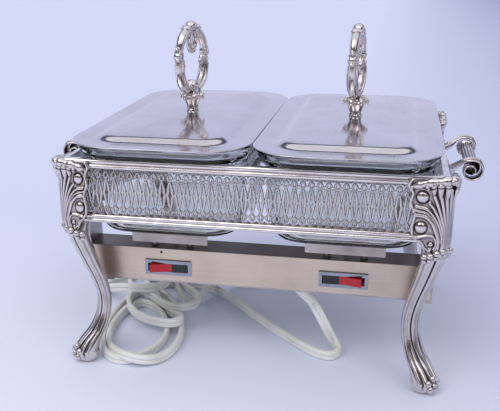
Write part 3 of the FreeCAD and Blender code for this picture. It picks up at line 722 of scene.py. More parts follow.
# each ring is (half width, half length, corner radius, height)
PANEL_AND_FLANGE = [
    (8, 44, 7.9, 231.6), (20, 70, 12, 231.4), (34, 96, 16, 231.0), (44, 112, 18, 230.6),
    (52, 123, 19, 230.1), (56, 128, 20, 229.6), (58.6, 130.6, 21, 228.6),
    (61.5, 133.5, 23, 226.9), (64.5, 137, 26, 226.0), (68, 141.5, 29.5, 225.78),
    (72, 146, 33, 225.82)]
LID_EDGE = [(78, 151.8, 39, 225.85), (83.6, 156, 44, 225.8), (84.4, 156.8, 44.8, 225.65),
            (84.65, 157.0, 45, 225.2), (84.3, 156.7, 44.8, 224.85)]
LID_UNDERSIDE = [
    (82.5, 154.9, 43, 224.75), (69, 143, 30.6, 224.75), (66, 139, 27, 224.8),
    (62, 134, 23.5, 225.7), (59, 131, 21, 227.4), (55, 127, 19, 228.6),
    (34, 96, 16, 229.9), (8, 44, 7.9, 230.6)]


def make_lid(side, middle_x):
    fine_rings = []
    for part in (PANEL_AND_FLANGE, LID_EDGE, LID_UNDERSIDE):
        fine_rings.extend(map(tuple, curve_through(part, 5 * len(part))))
    lump = Clay()
    lump.skin([rounded(*ring, middle=(middle_x, 0)) for ring in fine_rings])
    lid = lump.cast("pressed_lid_" + side, mirror)
    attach(lid, side + "_lid")
    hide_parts("lid_" + side)
    print("faces on the", side, "lid:", len(lid.data.polygons))


for side, middle_x in SIDES:
    make_lid(side, middle_x)

# %% [markdown]
# ## Lid handles
#
# A handle is one casting: a fluted foot, a cup of small leaves, and an upright oval ring of
# scrolls. A caster would carve it in wax. Here the wax is rods whose thickness swells and
# shrinks, coiled at their ends, and then melted together.

# %% Scrolls
def coil(middle, start_radius, end_radius, start, turns, count=26):
    """A spiral in the plane of the ring, as (along, up) points."""
    t = np.linspace(0, 1, count)
    angle = math.radians(start) + t * turns * 2 * math.pi
    radius = start_radius + (end_radius - start_radius) * t
    return np.stack([middle[0] + radius * np.cos(angle), middle[1] + radius * np.sin(angle)], 1)


def upright(flat, depth=0.0):
    """Puts (along, up) points into the ring's upright plane."""
    flat = np.asarray(flat, float)
    return np.stack([np.full(len(flat), depth), flat[:, 0], flat[:, 1]], 1)


def volute(lump, middle, radius, wire, depth, start=0.0, turns=1.6):
    """A rolled-up scroll: a coil of rod, with a boss in its eye."""
    path = upright(coil(middle, radius - wire, wire * 0.7, start, turns))
    lump.rod(path, np.linspace(wire, wire * 0.7, len(path)), 10, flat=depth, up=(1, 0, 0))
    lump.ball((0, middle[0], middle[1]), (wire * depth * 1.15, wire * 0.9, wire * 0.9))


def strand(lump, points, sign, radius, sides, flat):
    """A rod through (along, up) points, mirrored by sign, with a radius for each step."""
    path = curve_through([(sign * along, up) for along, up in points], len(radius))
    lump.rod(upright(path), radius, sides, flat=flat, up=(1, 0, 0))
    return path


print("points on a coil:", len(coil((0, 0), 5, 1, 0, 1.5)))

# %% Upright ring
UPPER_ARM = [(4, 30), (11, 28.2), (17.8, 23.0), (22.4, 15.5), (24.6, 7)]
LOWER_ARM = [(24.6, 5), (25.6, -4), (24.2, -14), (19.0, -24.5), (9.6, -31.5), (0, -34.5)]
SPUR = [(24.0, 10), (28.5, 12.5), (31.0, 15.5)]
LEAF_TIP = [(20.8, 0), (16.4, -4.5), (16.2, -9.5), (18.6, -13.5)]
PENDANT = [(2.5, 28), (6.4, 22), (6.2, 14.5), (2.4, 8.5)]


def ring_handle():
    """The upright ring about its own middle; the foot stands below it."""
    lump = Clay()
    for sign in (-1, 1):
        # upper arms: smooth, swelling rods from the crown to the side scrolls
        swell = 2.7 + 1.5 * np.sin(np.linspace(0.2, 2.9, 22))
        strand(lump, UPPER_ARM, sign, swell, 12, 1.15)
        # lower arms: broad leaves, with a rib along each side
        swell = 3.8 + 1.9 * np.sin(np.linspace(0.0, 3.0, 30)) ** 2
        low = strand(lump, LOWER_ARM, sign, swell, 12, 0.85)
        rib = 1.4 + 0.7 * np.sin(np.linspace(0, 3.1, 23))
        for depth, inset in ((-4.0, 0.975), (0.0, 1.05), (4.0, 0.975)):
            lump.rod(upright(low[3:26] * inset, depth), rib, 8)
        # side scrolls, one rolled outwards and one inwards, and an outward spur
        volute(lump, (sign * 26.6, 5.0), 7.0, 2.6, 1.8, start=90 - 10 * sign, turns=1.3 * sign)
        volute(lump, (sign * 21.4, -1.5), 5.2, 2.0, 2.0, start=250, turns=1.2 * sign)
        strand(lump, SPUR, sign, np.linspace(2.6, 0.8, 8), 8, 1.4)
        # a thin leaf tip that curls into the opening
        strand(lump, LEAF_TIP, sign, np.linspace(2.0, 0.8, 12), 8, 1.3)
        # crown scrolls that roll outwards over the top, and the strands of the pendant
        volute(lump, (sign * 8.4, 28.4), 6.6, 2.7, 2.1, start=90 - 60 * sign, turns=1.3 * sign)
        lump.ball((0, sign * 8.4, 28.4), (6.0, 4.6, 5.0))
        strand(lump, PENDANT, sign, np.linspace(2.3, 2.0, 16), 8, 1.5)
    lump.ball((0, 0, 33.2), (6.4, 6.6, 5.2), 18)
    lump.rod(upright([(0, 31), (0, 22), (0, 12)]), [2.2, 2.2, 1.8], 8)
    lump.ball((0, 0, 9.4), (4.6, 4.4, 4.2))
    # the round volute at the bottom of the ring
    volute(lump, (0, -28.5), 8.8, 2.9, 2.2, start=-60, turns=-1.7)
    lump.ball((0, 7.5, -36.0), (4.4, 3.0, 2.6))
    lump.ball((0, -7.5, -36.0), (4.4, 3.0, 2.6))
    return lump


print("faces on a ring before melting:", len(ring_handle().faces))

# %% Fluted foot
FLUTES = 7
LEAF_SWELL = [2.5, 3.3, 3.6, 3.5, 3.3, 2.9, 2.5, 2.0, 1.4, 0.7]


def handle_foot(top):
    """A fluted foot, slim at the lid, that opens into a cup of leaves under the ring."""
    lump = Clay()
    profile = [(6.4, 0.0), (6.6, 0.8), (5.8, 2.2), (5.7, 5.0), (6.8, 8.5), (8.6, 12),
               (10.4, top - 3), (11.2, top - 1), (9.2, top + 0.8), (3.0, top + 1.5)]
    turn = full_turn(72)
    rings = []
    for radius, height in curve_through(profile, 40):
        fade = np.clip((top - height) / 3, 0, 1) * np.clip(height / 2, 0, 1)
        wavy = radius + 0.11 * radius * np.cos(FLUTES * turn) * fade
        rings.append(at_height(np.stack([wavy * np.cos(turn), wavy * np.sin(turn)], 1), height))
    lump.skin(rings)
    for k in range(FLUTES):
        a = 2 * k * math.pi / FLUTES
        out = np.array([math.cos(a), math.sin(a), 0.0])
        leaf = [out * reach + [0, 0, top + rise]
                for reach, rise in ((5.5, 0), (10.6, 0.2), (12.8, -2.0), (12.0, -5.4))]
        lump.rod(curve_through(leaf, 10), np.array(LEAF_SWELL), 8, flat=0.5, up=out)
    return lump


print("faces on a foot before melting:", len(handle_foot(17.0).faces))


# %% Handles on their lids
RING_MID = 285.0
RING_DROP = 36.5    # from the ring's middle down to the top of its foot
HANDLE_TURN = {"left": -16.0, "right": -7.0}    # degrees


def make_handle(side, middle_x):
    turn = math.radians(HANDLE_TURN[side])

    def stand(points):
        x = points[:, 0] * math.cos(turn) - points[:, 1] * math.sin(turn)
        y = points[:, 0] * math.sin(turn) + points[:, 1] * math.cos(turn)
        return np.stack([x + middle_x, y, points[:, 2]], 1)

    lump = Clay()
    lump.add(ring_handle(), lambda p: stand(p + [0, 0, RING_MID]))
    lump.add(handle_foot(RING_MID - RING_DROP - LID_CREST), lambda p: stand(p + [0, 0, LID_CREST]))
    # a stud goes down through the lid
    stud = [(middle_x, 0, LID_CREST - 9), (middle_x, 0, LID_CREST + 2)]
    lump.rod(stud, 2.4, 16, up=(0, 1, 0))
    handle = melt(lump.cast("scrolled_handle_" + side, cast_silver), 0.42, 2)
    depth = tarnish(handle, 3.5, 10, open_air=0.10)
    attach(handle, side + "_lid")
    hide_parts("lid_handle_" + side)
    print(side, "handle:", len(handle.data.polygons), "faces, mean recess", round(depth, 3))


for side, middle_x in SIDES:
    make_handle(side, middle_x)

# %% [markdown]
# ## Glass dishes
#
# The dishes are pressed oven glass, five millimetres thick, with a ledge under the rim. A
# glass needs a real inside and outside wall to bend light, so the skin runs from the
# middle of the floor up the outside, over the rim and down the inside.

# %% Dishes
glass = Finish("dish_glass", Roughness=0.03, IOR=1.47, Transmission_Weight=1.0,
               Base_Color=colour(247, 250, 250))
glass.drive(Normal=glass.bump(glass.noise(45.0, 2.0), 0.25))
# each ring is (half width, half length, corner radius, height)
OUTSIDE = [
    (20, 70, 12, 131.0), (58, 108, 24, 131.0), (62, 112, 26, 131.6), (65, 115.5, 28, 133.2),
    (66.5, 117.5, 29, 135), (71, 123, 31, 146), (74, 127.4, 32.2, 180),
    (76.2, 131, 33, 209.3), (77.2, 134, 33.4, 210.2), (79.5, 142.5, 35, 210.6),
    (80.2, 144.5, 35.5, 214.3), (81.6, 147, 36, 219), (83.2, 149.2, 37, 223.6),
    (83.0, 149, 36.8, 224.3)]
INSIDE = [
    (81, 147, 35.6, 224.4), (79.5, 145.5, 34, 224.0), (77.2, 141.6, 32.5, 220.5),
    (75, 138, 31, 217.3), (72.4, 128.6, 29.5, 213.4), (71.2, 126, 29, 211),
    (69, 122.5, 28, 180), (66.2, 118.2, 27, 149), (62, 113, 25, 140), (59, 109.5, 23, 137),
    (57, 107, 22, 136.2), (20, 70, 12, 136.0)]


def make_dish(side, middle_x):
    lump = Clay()
    lump.skin([rounded(*ring, count=14, middle=(middle_x, 0)) for ring in OUTSIDE + INSIDE])
    dish = lump.cast("oblong_dish_" + side, glass)
    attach(dish, side + "_dish")
    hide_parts("dish_" + side)
    print("faces on the", side, "dish:", len(dish.data.polygons))


for side, middle_x in SIDES:
    make_dish(side, middle_x)

# %% [markdown]
# ## The pierced gallery
#
# A strip of sheet silver is punched and struck in one pattern that repeats every 7.6 mm: a
# row of rings along each edge, tall pointed ovals between them, and a notched web where
# neighbours meet. Struck edges are rounded and catch the light, so the pattern is built of
# flattened rods in relief instead of being cut from a flat plate.

# %% One repeat of the pattern
PITCH = 7.6
BAND_LOW, BAND_HIGH = 157.0, 200.8
BAND_MIDDLE, BAND_HALF = (BAND_LOW + BAND_HIGH) / 2, (BAND_HIGH - BAND_LOW) / 2
RING_INSET = 5.4
INTO_THE_BAND = (0, 1, 0)


def wire(lump, points, radius, flat=1.1, shut=False):
    """A flattened rod through (along, up) points in the plane of the strip."""
    path = [(along, 0, up) for along, up in points]
    lump.rod(path, radius, 6, flat=flat, up=INTO_THE_BAND, shut=shut)


def gallery_cell():
    """One repeat, about along = 0, lying in the plane y = 0."""
    lump = Clay()
    low, high = BAND_LOW + RING_INSET, BAND_HIGH - RING_INSET
    middle, seam = (low + high) / 2, PITCH / 2
    for height in (low, high):
        turn = full_turn(18)
        ring = zip(1.95 * np.cos(turn), height + 2.8 * np.sin(turn))
        wire(lump, ring, 1.05, flat=1.0, shut=True)
    for side in (-1, 1):
        half = [(0.2, low + 3.3), (0.95, low + 6.2), (1.75, low + 11), (1.95, middle - 2.4),
                (2.75, middle)]
        limb = half + [(x, 2 * middle - z) for x, z in half[-2::-1]]
        limb = curve_through([(x * side, z) for x, z in limb], 21)
        wire(lump, limb, 0.9 + 0.65 * np.sin(np.linspace(0, math.pi, 21)), flat=0.8)
        # the half web that joins this oval to its neighbour
        web = [(2.3, middle + 4.4), (2.9, middle + 1.5), (2.9, middle - 1.5),
               (2.2, middle - 5.0), (seam, middle - 3.0), (seam, middle + 2.0)][::side]
        lump.skin([[(x * side, y, z) for x, z in web] for y in (-0.4, 0.4)])
        wire(lump, [(2.4 * side, middle - 0.4), (seam * side, middle - 0.4)], 1.05)
        # links between the rings, and a small wedge at the rail
        for edge, height, inward in ((BAND_LOW, low, 1), (BAND_HIGH, high, -1)):
            wire(lump, [(2.3 * side, height + 0.6 * inward), (seam * side, height + inward)], 0.6)
            wire(lump, [(seam * side, edge), (seam * side, edge + 2.1 * inward)], [1.3, 0.35], 0.6)
    # margins beside the rails
    for edge in (BAND_LOW + 0.4, BAND_HIGH - 0.4):
        wire(lump, [(-seam, edge), (seam, edge)], 0.6)
    return lump


cell = gallery_cell()
print("faces in one repeat:", len(cell.faces))

# %% Four strips
STRIP_HALF = 0.7    # half the thickness of the plain ends


def make_gallery(side, cells):
    node = "gallery_" + side
    node_low, node_high = corners(node)
    run = 0 if side in ("front", "back") else 1
    plane = (node_low[1 - run] + node_high[1 - run]) / 2

    def put(along, deep, up):
        """Points at a place along the strip, deep in it and up from the table."""
        rows = [along, plane + deep, up] if run == 0 else [plane - deep, along, up]
        return np.stack(rows, 1)

    lump = Clay()
    for k in range(cells):
        shift = (k - (cells - 1) / 2) * PITCH
        lump.add(cell, lambda p, shift=shift: put(p[:, 0] + shift, p[:, 1], p[:, 2]))
    ends = cells * PITCH / 2
    for sign, limit in ((-1, node_low[run]), (1, node_high[run])):
        inner, outer = sorted((sign * ends, limit))
        square = [(-STRIP_HALF, inner), (STRIP_HALF, inner),
                  (STRIP_HALF, outer), (-STRIP_HALF, outer)]
        rows = []
        for height in (BAND_LOW, BAND_HIGH):
            rows.append([(a, plane + d, height) if run == 0 else (plane + d, a, height)
                         for d, a in square])
        lump.skin(rows)
    gallery = lump.cast("pierced_" + node, pierced_silver)
    # the strip's number is given by height, not read from its shape: it grows towards the top and
    # bottom edges, so the strip is duller and darker near the rails
    heights = np.array([v.co.z for v in gallery.data.vertices]) / MM
    fade = np.abs(heights - BAND_MIDDLE) / BAND_HALF
    paint(gallery.data, 0.10 + 0.16 * fade**3)
    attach(gallery, "stand")
    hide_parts(node)
    print(node, len(gallery.data.polygons), "faces")


for side, cells in (("front", 40), ("back", 40), ("left", 31), ("right", 31)):
    make_gallery(side, cells)

# %% [markdown]
# ## Legs
#
# The legs are the showpiece: cast cabriole legs whose tops spread into two wings that wrap
# the corner, with a fan of flutes, scrolls, two domed bosses and a small one on each wing.
# A carver would raise all this from one surface, and so does this cell: the wing is a sheet
# that follows the corner, and its height at each point is the highest of many ridges and
# domes, drawn as lines on the unrolled wing. Balls and rods add the leaf that rolls over
# the top and the buds on the toe.

# %% Carving tools
STAND_X, STAND_Y = 175.0, 140.0
CORNER_ROUND = 9.0
PROUD = 3.6    # how far the wings stand out from the stand


def distance_to(line, u, z):
    """Distance from each grid point to a drawn line, and how far along the line it falls."""
    best = np.full(u.shape, 1e9)
    where = np.zeros(u.shape)
    total = len(line) - 1
    for k, (a, b) in enumerate(zip(line[:-1], line[1:])):
        step = b - a
        t = np.clip(((u - a[0]) * step[0] + (z - a[1]) * step[1]) / max(step.dot(step), 1e-9), 0, 1)
        gap = np.hypot(u - a[0] - t * step[0], z - a[1] - t * step[1])
        closer = gap < best
        best = np.where(closer, gap, best)
        where = np.where(closer, (k + t) / total, where)
    return best, where


print("the wings stand out by", PROUD, "mm")

# %% [markdown]
# Each line below is a list of (distance from the corner, height) points. A ridge's two
# numbers for width and height hold at its first and its last point.

# %% Lines of the carving
FAN = [[(29, 183.5), (19, 181), (11, 171), (6.6, 159), (5.2, 149), (5.6, 141)],
       [(18, 187), (13.8, 182), (8.4, 171), (5.0, 159), (3.9, 149), (3.8, 141)],
       [(14.4, 194), (10.4, 184), (6.2, 171), (3.6, 159), (2.6, 149), (2.4, 141)],
       [(9.6, 197), (7, 186), (4.1, 172), (2.3, 159), (1.4, 149)],
       [(4.8, 198), (3.5, 187), (2.0, 172), (1.1, 159), (0.4, 149)],
       [(0, 199), (0, 180), (0, 143)]]
KNEE_RIBS = [[(0, 154), (0, 139)], [(3.2, 154), (4.6, 147), (5.4, 139)],
             [(7.0, 154), (9.2, 147), (10.6, 139)], [(13.0, 151), (14.6, 146), (15.4, 139)]]
SCROLLS = [([(35, 177), (28.5, 176), (21, 174.8), (15.2, 170), (11.6, 162), (9.0, 154),
             (8, 145), (8.6, 140)], (2.2, 1.3), (2.4, 1.5)),
           ([(35.5, 187.5), (33.5, 182.5), (27.5, 179.6), (19.5, 177.6), (13.2, 171),
             (9.4, 161), (7.0, 152)], (1.7, 0.9), (2.0, 1.0)),
           ([(32, 158.5), (27, 155.6), (20.5, 157.2), (13.5, 157), (10.5, 152),
             (11.5, 145)], (1.6, 1.1), (2.0, 1.4)),
           ([(28.5, 153.6), (23, 151.6), (20.5, 147.4), (16, 143.6), (12, 139.6)],
            (1.5, 1.2), (1.8, 1.4)),
           ([(36.5, 196.5), (33.5, 200.5), (27, 202.5), (19, 201.5)], (1.8, 1.2), (2.2, 1.4))]
RIDGES = ([(line, (1.75, 0.85), (1.9, 0.9)) for line in FAN]
          + [(line, (1.2, 2.3), (0.9, 2.0)) for line in KNEE_RIBS] + SCROLLS)
# bosses: distance from the corner, height, radius and dome
BOSSES = [(24.0, 192.2, 5.2, 2.8), (24.0, 164.6, 5.2, 2.8), (14.6, 149.6, 2.3, 1.8)]


def dome(gap, radius):
    """The rounded profile of a ridge or boss: 1 in its middle, 0 from its radius on."""
    return np.sqrt(np.clip(1 - (gap / radius) ** 2, 0, None))


def ridge(line, u, z, wide, tall):
    """A rounded ridge; its half width and height run from the first number to the second."""
    gap, where = distance_to(curve_through(line, 24), u, z)
    width = wide[0] + (wide[1] - wide[0]) * where
    return (tall[0] + (tall[1] - tall[0]) * where) * dome(gap, width)


def carved(u, z):
    """Height of the carving on the wings; u is the distance round the corner."""
    s = np.abs(u)
    h = np.full(u.shape, 0.35)
    for line, wide, tall in RIDGES:
        h = np.maximum(h, ridge(line, s, z, wide, tall))
    # domed bosses, each in a thin sunk ring
    for middle, height, size, rise in BOSSES:
        gap = np.hypot(s - middle, z - height)
        h = h * np.clip((gap - size - 0.3) / 1.3, 0, 1)
        h = np.maximum(h, rise * dome(gap, size))
    return h


print("ridges on a wing:", len(RIDGES))

# %% [markdown]
# The wing's outline is a width for every height. Its sheet wraps the corner: a distance
# along the wing becomes a place on a quarter round with two straight flanks.

# %% Wing
EDGE = np.array([(136, 14), (141, 16.5), (149, 22), (152, 25.2), (155, 28.4), (160, 31.5),
                 (165, 32), (171, 30.5), (176, 29.5), (182, 32), (187, 34.2), (191, 33.4),
                 (195, 32), (199, 34), (202, 36.3), (205, 35.5), (207.2, 33)], float)
ROWS, COLUMNS = 146, 201
WING_LOW, WING_HIGH = 136, 208.4
LIP, RIM = 1.7, 0.045    # height of the raised rim, and its half width as a share
BACK = 3.2               # thickness behind the stand's face


def corner_path(u):
    """Place and outward direction round the front right corner, at distance u from its edge."""
    bend = CORNER_ROUND * math.pi / 4
    turn = np.clip(u / CORNER_ROUND, -math.pi / 4, math.pi / 4) - math.pi / 4
    straight = np.sign(u) * np.clip(np.abs(u) - bend, 0, None)
    centre = np.array([STAND_X + PROUD - CORNER_ROUND, -STAND_Y - PROUD + CORNER_ROUND])
    out = np.stack([np.cos(turn), np.sin(turn)], -1)
    along = np.stack([-np.sin(turn), np.cos(turn)], -1)
    return centre + CORNER_ROUND * out + straight[..., None] * along, out


def wing_sheet(lump, narrow):
    heights = np.linspace(WING_LOW, WING_HIGH, ROWS)
    spread = np.linspace(-1, 1, COLUMNS)
    across = np.sign(spread) * np.abs(spread) ** 1.15
    width = np.interp(heights, EDGE[:, 0], EDGE[:, 1]) + 1.4
    u = width[:, None] * across[None, :]
    z = np.broadcast_to(heights[:, None], u.shape)
    h = carved(u, z)
    lip = LIP * dome(np.abs(across) - (1 - RIM), RIM)
    h = np.maximum(h, lip[None, :])
    # the carving runs out softly at the sheet's sides, foot and top
    h *= np.clip((1.0 - np.abs(across)) / 0.015, 0.0, 1)[None, :] ** 0.5
    foot, top = np.clip((heights - 135.5) / 2, 0, 1), np.clip((208.5 - heights) / 3.0, 0, 1)
    h *= foot[:, None] * top[:, None] ** 0.5
    place, out = corner_path(u * narrow)
    sink = np.interp(heights, [136, 141, 148, 156], [2.6, 1.6, 0.5, 0.0])[:, None]
    inward = np.array([-1, 1]) / math.sqrt(2)
    front = place + out * h[..., None] + inward * sink[..., None]
    back = place - out * BACK + inward * sink[..., None]
    lump.skin([np.concatenate([at_height(front[row], z), at_height(back[row][::-8], z)])
               for row, z in enumerate(heights)])


print("rings on a wing:", ROWS)

# %% [markdown]
# The shank and foot are rings of points round a bent middle line. Two grooves run all the
# way down the front, a shallower pair runs down the flanks, and a third pair parts the toe.

# %% Shank
# height, offset of the middle from the corner, half width across and along the diagonal
SHANK = np.array([
    (0.0, -14, 6.5, 6.5), (0.8, -13.9, 8.8, 8.4), (3.4, -13.4, 11.4, 10.6),
    (8.5, -12.7, 13.2, 12.2), (13, -12.9, 13.2, 12.2), (22, -18, 12.8, 9.8),
    (33, -26.6, 11.6, 7.2), (48, -33.4, 10.6, 6.2), (66, -34.8, 10.6, 6.2),
    (85, -30.3, 11.2, 6.9), (105, -22.6, 12.0, 7.8), (124, -15.7, 13.0, 9.0),
    (137, -12.2, 13.6, 9.6), (148, -15.0, 12.0, 8.0), (156, -16, 10, 7)])


def dip(face, place, width):
    """A soft groove at an angle round the shank, in degrees from its front."""
    return np.exp(-((face - place) / width) ** 2)


def shank(lump):
    turn = full_turn(144)
    out, side = np.array([1, -1]) / math.sqrt(2), np.array([1, 1]) / math.sqrt(2)
    face = np.abs(np.degrees(np.arctan2(np.sin(turn), np.cos(turn))))
    rings = []
    for height, offset, across, along in curve_through(SHANK, 190):
        cut = np.clip((139 - height) / 5, 0, 1) * np.clip((height - 4) / 6, 0, 1)
        place = 18 + 9 * np.clip((height - 20) / 30, 0, 1)
        groove = dip(face, place, 6.5) + 0.25 * dip(face, 76, 9.0)
        toe = np.clip((46 - height) / 24, 0, 1)
        swell = 1 - 0.21 * groove * cut - 0.15 * toe * cut * dip(face, 52, 7.0)
        a, b = along * swell * np.cos(turn), across * swell * np.sin(turn)
        plan = np.array([STAND_X, -STAND_Y]) + out * offset + a[:, None] * out + b[:, None] * side
        rings.append(at_height(plan, max(height, 0.0)))
    lump.skin(rings)


print("widest point of a foot:", float(SHANK[:, 2].max()) * 2, "mm")

# %% [markdown]
# One leg is shaped at the front right corner and mirrored to the others. The wings of the
# left pair are a fifth narrower, as castings from two moulds would be.

# %% One leg
ROLL_LINE = ((32, 201.6), (26, 203.6), (19, 205.2), (11, 206.2), (4, 207.2), (0, 208.0))
FOLDS = ((20.5, 198.0, 2.2), (15.2, 193.0, 2.7), (9.6, 190.5, 2.8), (4.2, 190.0, 2.6))
TOE_BUDS = ((-3.0, 0, 16.4, 3.2), (-3.2, 5.2, 12.4, 3.4), (-3.2, -5.2, 12.4, 3.4),
            (-2.0, 3.4, 6.6, 3.6), (-2.0, -3.4, 6.6, 3.6), (-0.4, 0, 10.6, 2.4))


def at_knee(offset, side, height):
    """A point given by its offset along the diagonal from the corner, and sideways."""
    step, slide = offset / math.sqrt(2), side / math.sqrt(2)
    return np.array([STAND_X + step + slide, -STAND_Y - step + slide, height])


def on_wing(u, height, lift=0.0):
    """A point above the wing's face, at distance u round the corner."""
    place, out = corner_path(np.array([float(u)]))
    x, y = (place + out * lift)[0]
    return np.array([x, y, height])


def front_right_leg(narrow=1.0):
    lump = Clay()
    wing_sheet(lump, narrow)
    shank(lump)
    # knee: a collar of soft lobes that rises towards the corner
    for angle in (-88, -60, -34, -11, 11, 34, 60, 88):
        c, s = math.cos(math.radians(angle)), math.sin(math.radians(angle))
        rise = 137.8 + 5.6 * c**2
        lump.ball(at_knee(-10.8 + 10.2 * c, 14.4 * s, rise), (3.5, 3.5, 2.9), 14)
        lump.ball(at_knee(-11.4 + 9.2 * c, 13.4 * s, rise - 4.4), (2.4, 2.4, 3.0), 12)
    for offset, slide, height, size in TOE_BUDS:
        lump.ball(at_knee(offset, slide, height), size, 14)
    for sign in (-1, 1):
        # rolled leaf along the top, and the folds that droop from it
        roll = [on_wing(sign * u * narrow, z, 1.2) for u, z in ROLL_LINE]
        wave = 3.8 + 0.6 * np.sin(np.linspace(0, 5.5 * math.pi, 44))
        taper = np.interp(np.linspace(0, 1, 44), [0, 0.16, 1], [0.55, 1.0, 1.08])
        lump.rod(curve_through(roll, 44), wave * taper, 14)
        for u, tip, size in FOLDS:
            fold = [on_wing(sign * u * narrow, 205, 2.6), on_wing(sign * u * narrow, 200, 3.0),
                    on_wing(sign * u * 0.96 * narrow, tip, 0.8)]
            droop = size * np.sin(np.linspace(1.4, 2.95, 12)) + 0.15
            lump.rod(curve_through(fold, 12), droop, 10)
    # the leaf rolls up into a ball at the corner and ends in a raised tip
    lump.ball(at_knee(3.6, 0, 207.6), (5.2, 5.2, 4.4), 18)
    for sign in (-1, 1):
        lump.ball(at_knee(5.6, sign * 3.4, 207.0), 2.4, 10)
    tip = [at_knee(3.0, 0, 209.0), at_knee(6.0, 0, 210.4), at_knee(8.0, 0, 211.2)]
    lump.rod(curve_through(tip, 8), np.linspace(2.6, 0.7, 8), 10)
    return lump


LEFT_NARROW = 0.80
right_pattern, left_pattern = front_right_leg(), front_right_leg(LEFT_NARROW)
print("faces on one leg:", len(right_pattern.faces))

# %% Four legs
def make_leg(name, sign_x, sign_y, like=None):
    """A leg by its corner; a back leg takes the tarnish of the front leg that it is like."""
    pattern = right_pattern if sign_x > 0 else left_pattern
    lump = Clay()
    lump.add(pattern, lambda p: p * np.array([sign_x, sign_y, 1]), flip=sign_x * sign_y < 0)
    leg = lump.cast("cabriole_" + name, cast_silver)
    if like:
        depths = per_point(like.data.attributes["recess"].data, "value", np.float32, 1)
        paint(leg.data, depths[:, 0])
    else:
        print("mean depth on", name, round(float(tarnish(leg)), 3))
    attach(leg, "stand")
    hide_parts(name)
    return leg


front_right, front_left = make_leg("leg_front_right", 1, 1), make_leg("leg_front_left", -1, 1)
make_leg("leg_back_right", 1, -1, front_right)
make_leg("leg_back_left", -1, -1, front_left)

# %% [markdown]
# ## End handles
#
# Each end has a cast handle. Two arms rise from the rail, spread into broad leaves and roll
# up into hollow scrolls, and a fluted grip runs between the scrolls. The leaves are a flat
# strip bent along a spiral, with a thicker rim, as a smith would roll sheet.

# %% Shape of an end handle
# the spiral of the leaves, as (x, height) points seen from the front
ROLL = [(176.4, 193.0), (182, 195.2), (188, 198.8), (194, 202.2), (200, 203.4),
        (205.8, 201.8), (209.0, 197.2), (209.4, 191.8), (207.0, 187.2), (202.6, 184.6),
        (197.2, 184.9), (193.4, 188.2), (192.4, 192.6), (194.6, 196.6), (198.6, 197.8),
        (202.2, 195.8), (203.2, 192.0), (201.0, 189.4)]
STRIP_STEPS, STRIP = 96, 1.15    # steps along the strip, and half its thickness
VEINED = slice(6, 44)            # the steps of the strip that carry veins
ROSETTE = ((-5, 4, 2.6), (5, 4, 2.6), (-5, -4, 2.4), (5, -4, 2.4), (0, 6.4, 2.8), (0, -6, 2.4))
GRIP_HALF = 42                   # half the length of the grip


def leaf_roll(lump, sign):
    """One arm: its root, the rolled leaf with rims and veins, and the rosette at the rail."""
    spiral = curve_through(ROLL, STRIP_STEPS)
    run = np.linspace(0, 1, STRIP_STEPS)
    level = np.zeros(STRIP_STEPS)
    half_width = np.interp(run, [0, 0.12, 0.35, 0.8, 1], [3.4, 4.6, 6.6, 6.2, 4.6])
    middle = sign * np.interp(run, [0, 0.25, 1], [44.5, 48.5, 48.5])
    strip = np.stack([spiral[:, 0], middle, spiral[:, 1]], 1)
    lump.rod(strip, STRIP, 14, flat=half_width / STRIP, up=(0, 1, 0))
    for edge in (-1, 1):
        rim = strip + np.stack([level, edge * (half_width - 0.5), level], 1)
        lump.rod(rim, STRIP - 0.35 * run, 8)
    root = [(175.6, sign * 44, 189.6), (182, sign * 45.5, 193.0), (189, sign * 47.5, 198.4)]
    lump.rod(curve_through(root, 14), np.linspace(4.6, 2.2, 14), 12)
    lift = np.gradient(spiral, axis=0)[VEINED]
    lift /= np.linalg.norm(lift, axis=1)[:, None]
    for shift in (-2.6, 0.0, 2.6):
        above = np.stack([-lift[:, 1] * 0.9, np.full(len(lift), shift), lift[:, 0] * 0.9], 1)
        lump.rod(strip[VEINED] + above, 0.9, 6)
    for dy, dz, size in ROSETTE:
        lump.ball((176.6, sign * 44 + dy, 192.5 + dz), (1.6, size, size), 10)
    lump.ball((176.4, sign * 44, 192.5), (3.0, 6.4, 6.8), 20)
    # the boss in which the grip ends
    lump.rod([(200.2, sign * 40, 194.0), (200.2, sign * 43.6, 194.0)], [7.2, 7.6], 24)


def right_end_handle():
    lump = Clay()
    for sign in (-1, 1):
        leaf_roll(lump, sign)
    turn = full_turn(80)
    rings = []
    for place in np.linspace(-GRIP_HALF, GRIP_HALF, 50):
        radius = 5.4 + 0.9 * (1 - (place / GRIP_HALF) ** 2) + 0.35 * np.cos(14 * turn)
        rings.append(np.stack([200.4 + radius * np.cos(turn), np.full(80, place),
                               194.4 + radius * np.sin(turn)], 1))
    lump.skin(rings)
    return lump


end_lump = right_end_handle()
print("end handle faces:", len(end_lump.faces))

# %% Both end handles
for side, sign in (("right", 1), ("left", -1)):
    lump = Clay()
    lump.add(end_lump, lambda p, sign=sign: p * np.array([sign, 1, 1]), flip=sign < 0)
    node = "end_handle_" + side
    handle = lump.cast("loop_" + node, cast_silver)
    print("mean depth on", node, round(float(tarnish(handle, 3.5, 10, 6)), 3))
    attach(handle, "stand")
    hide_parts(node)
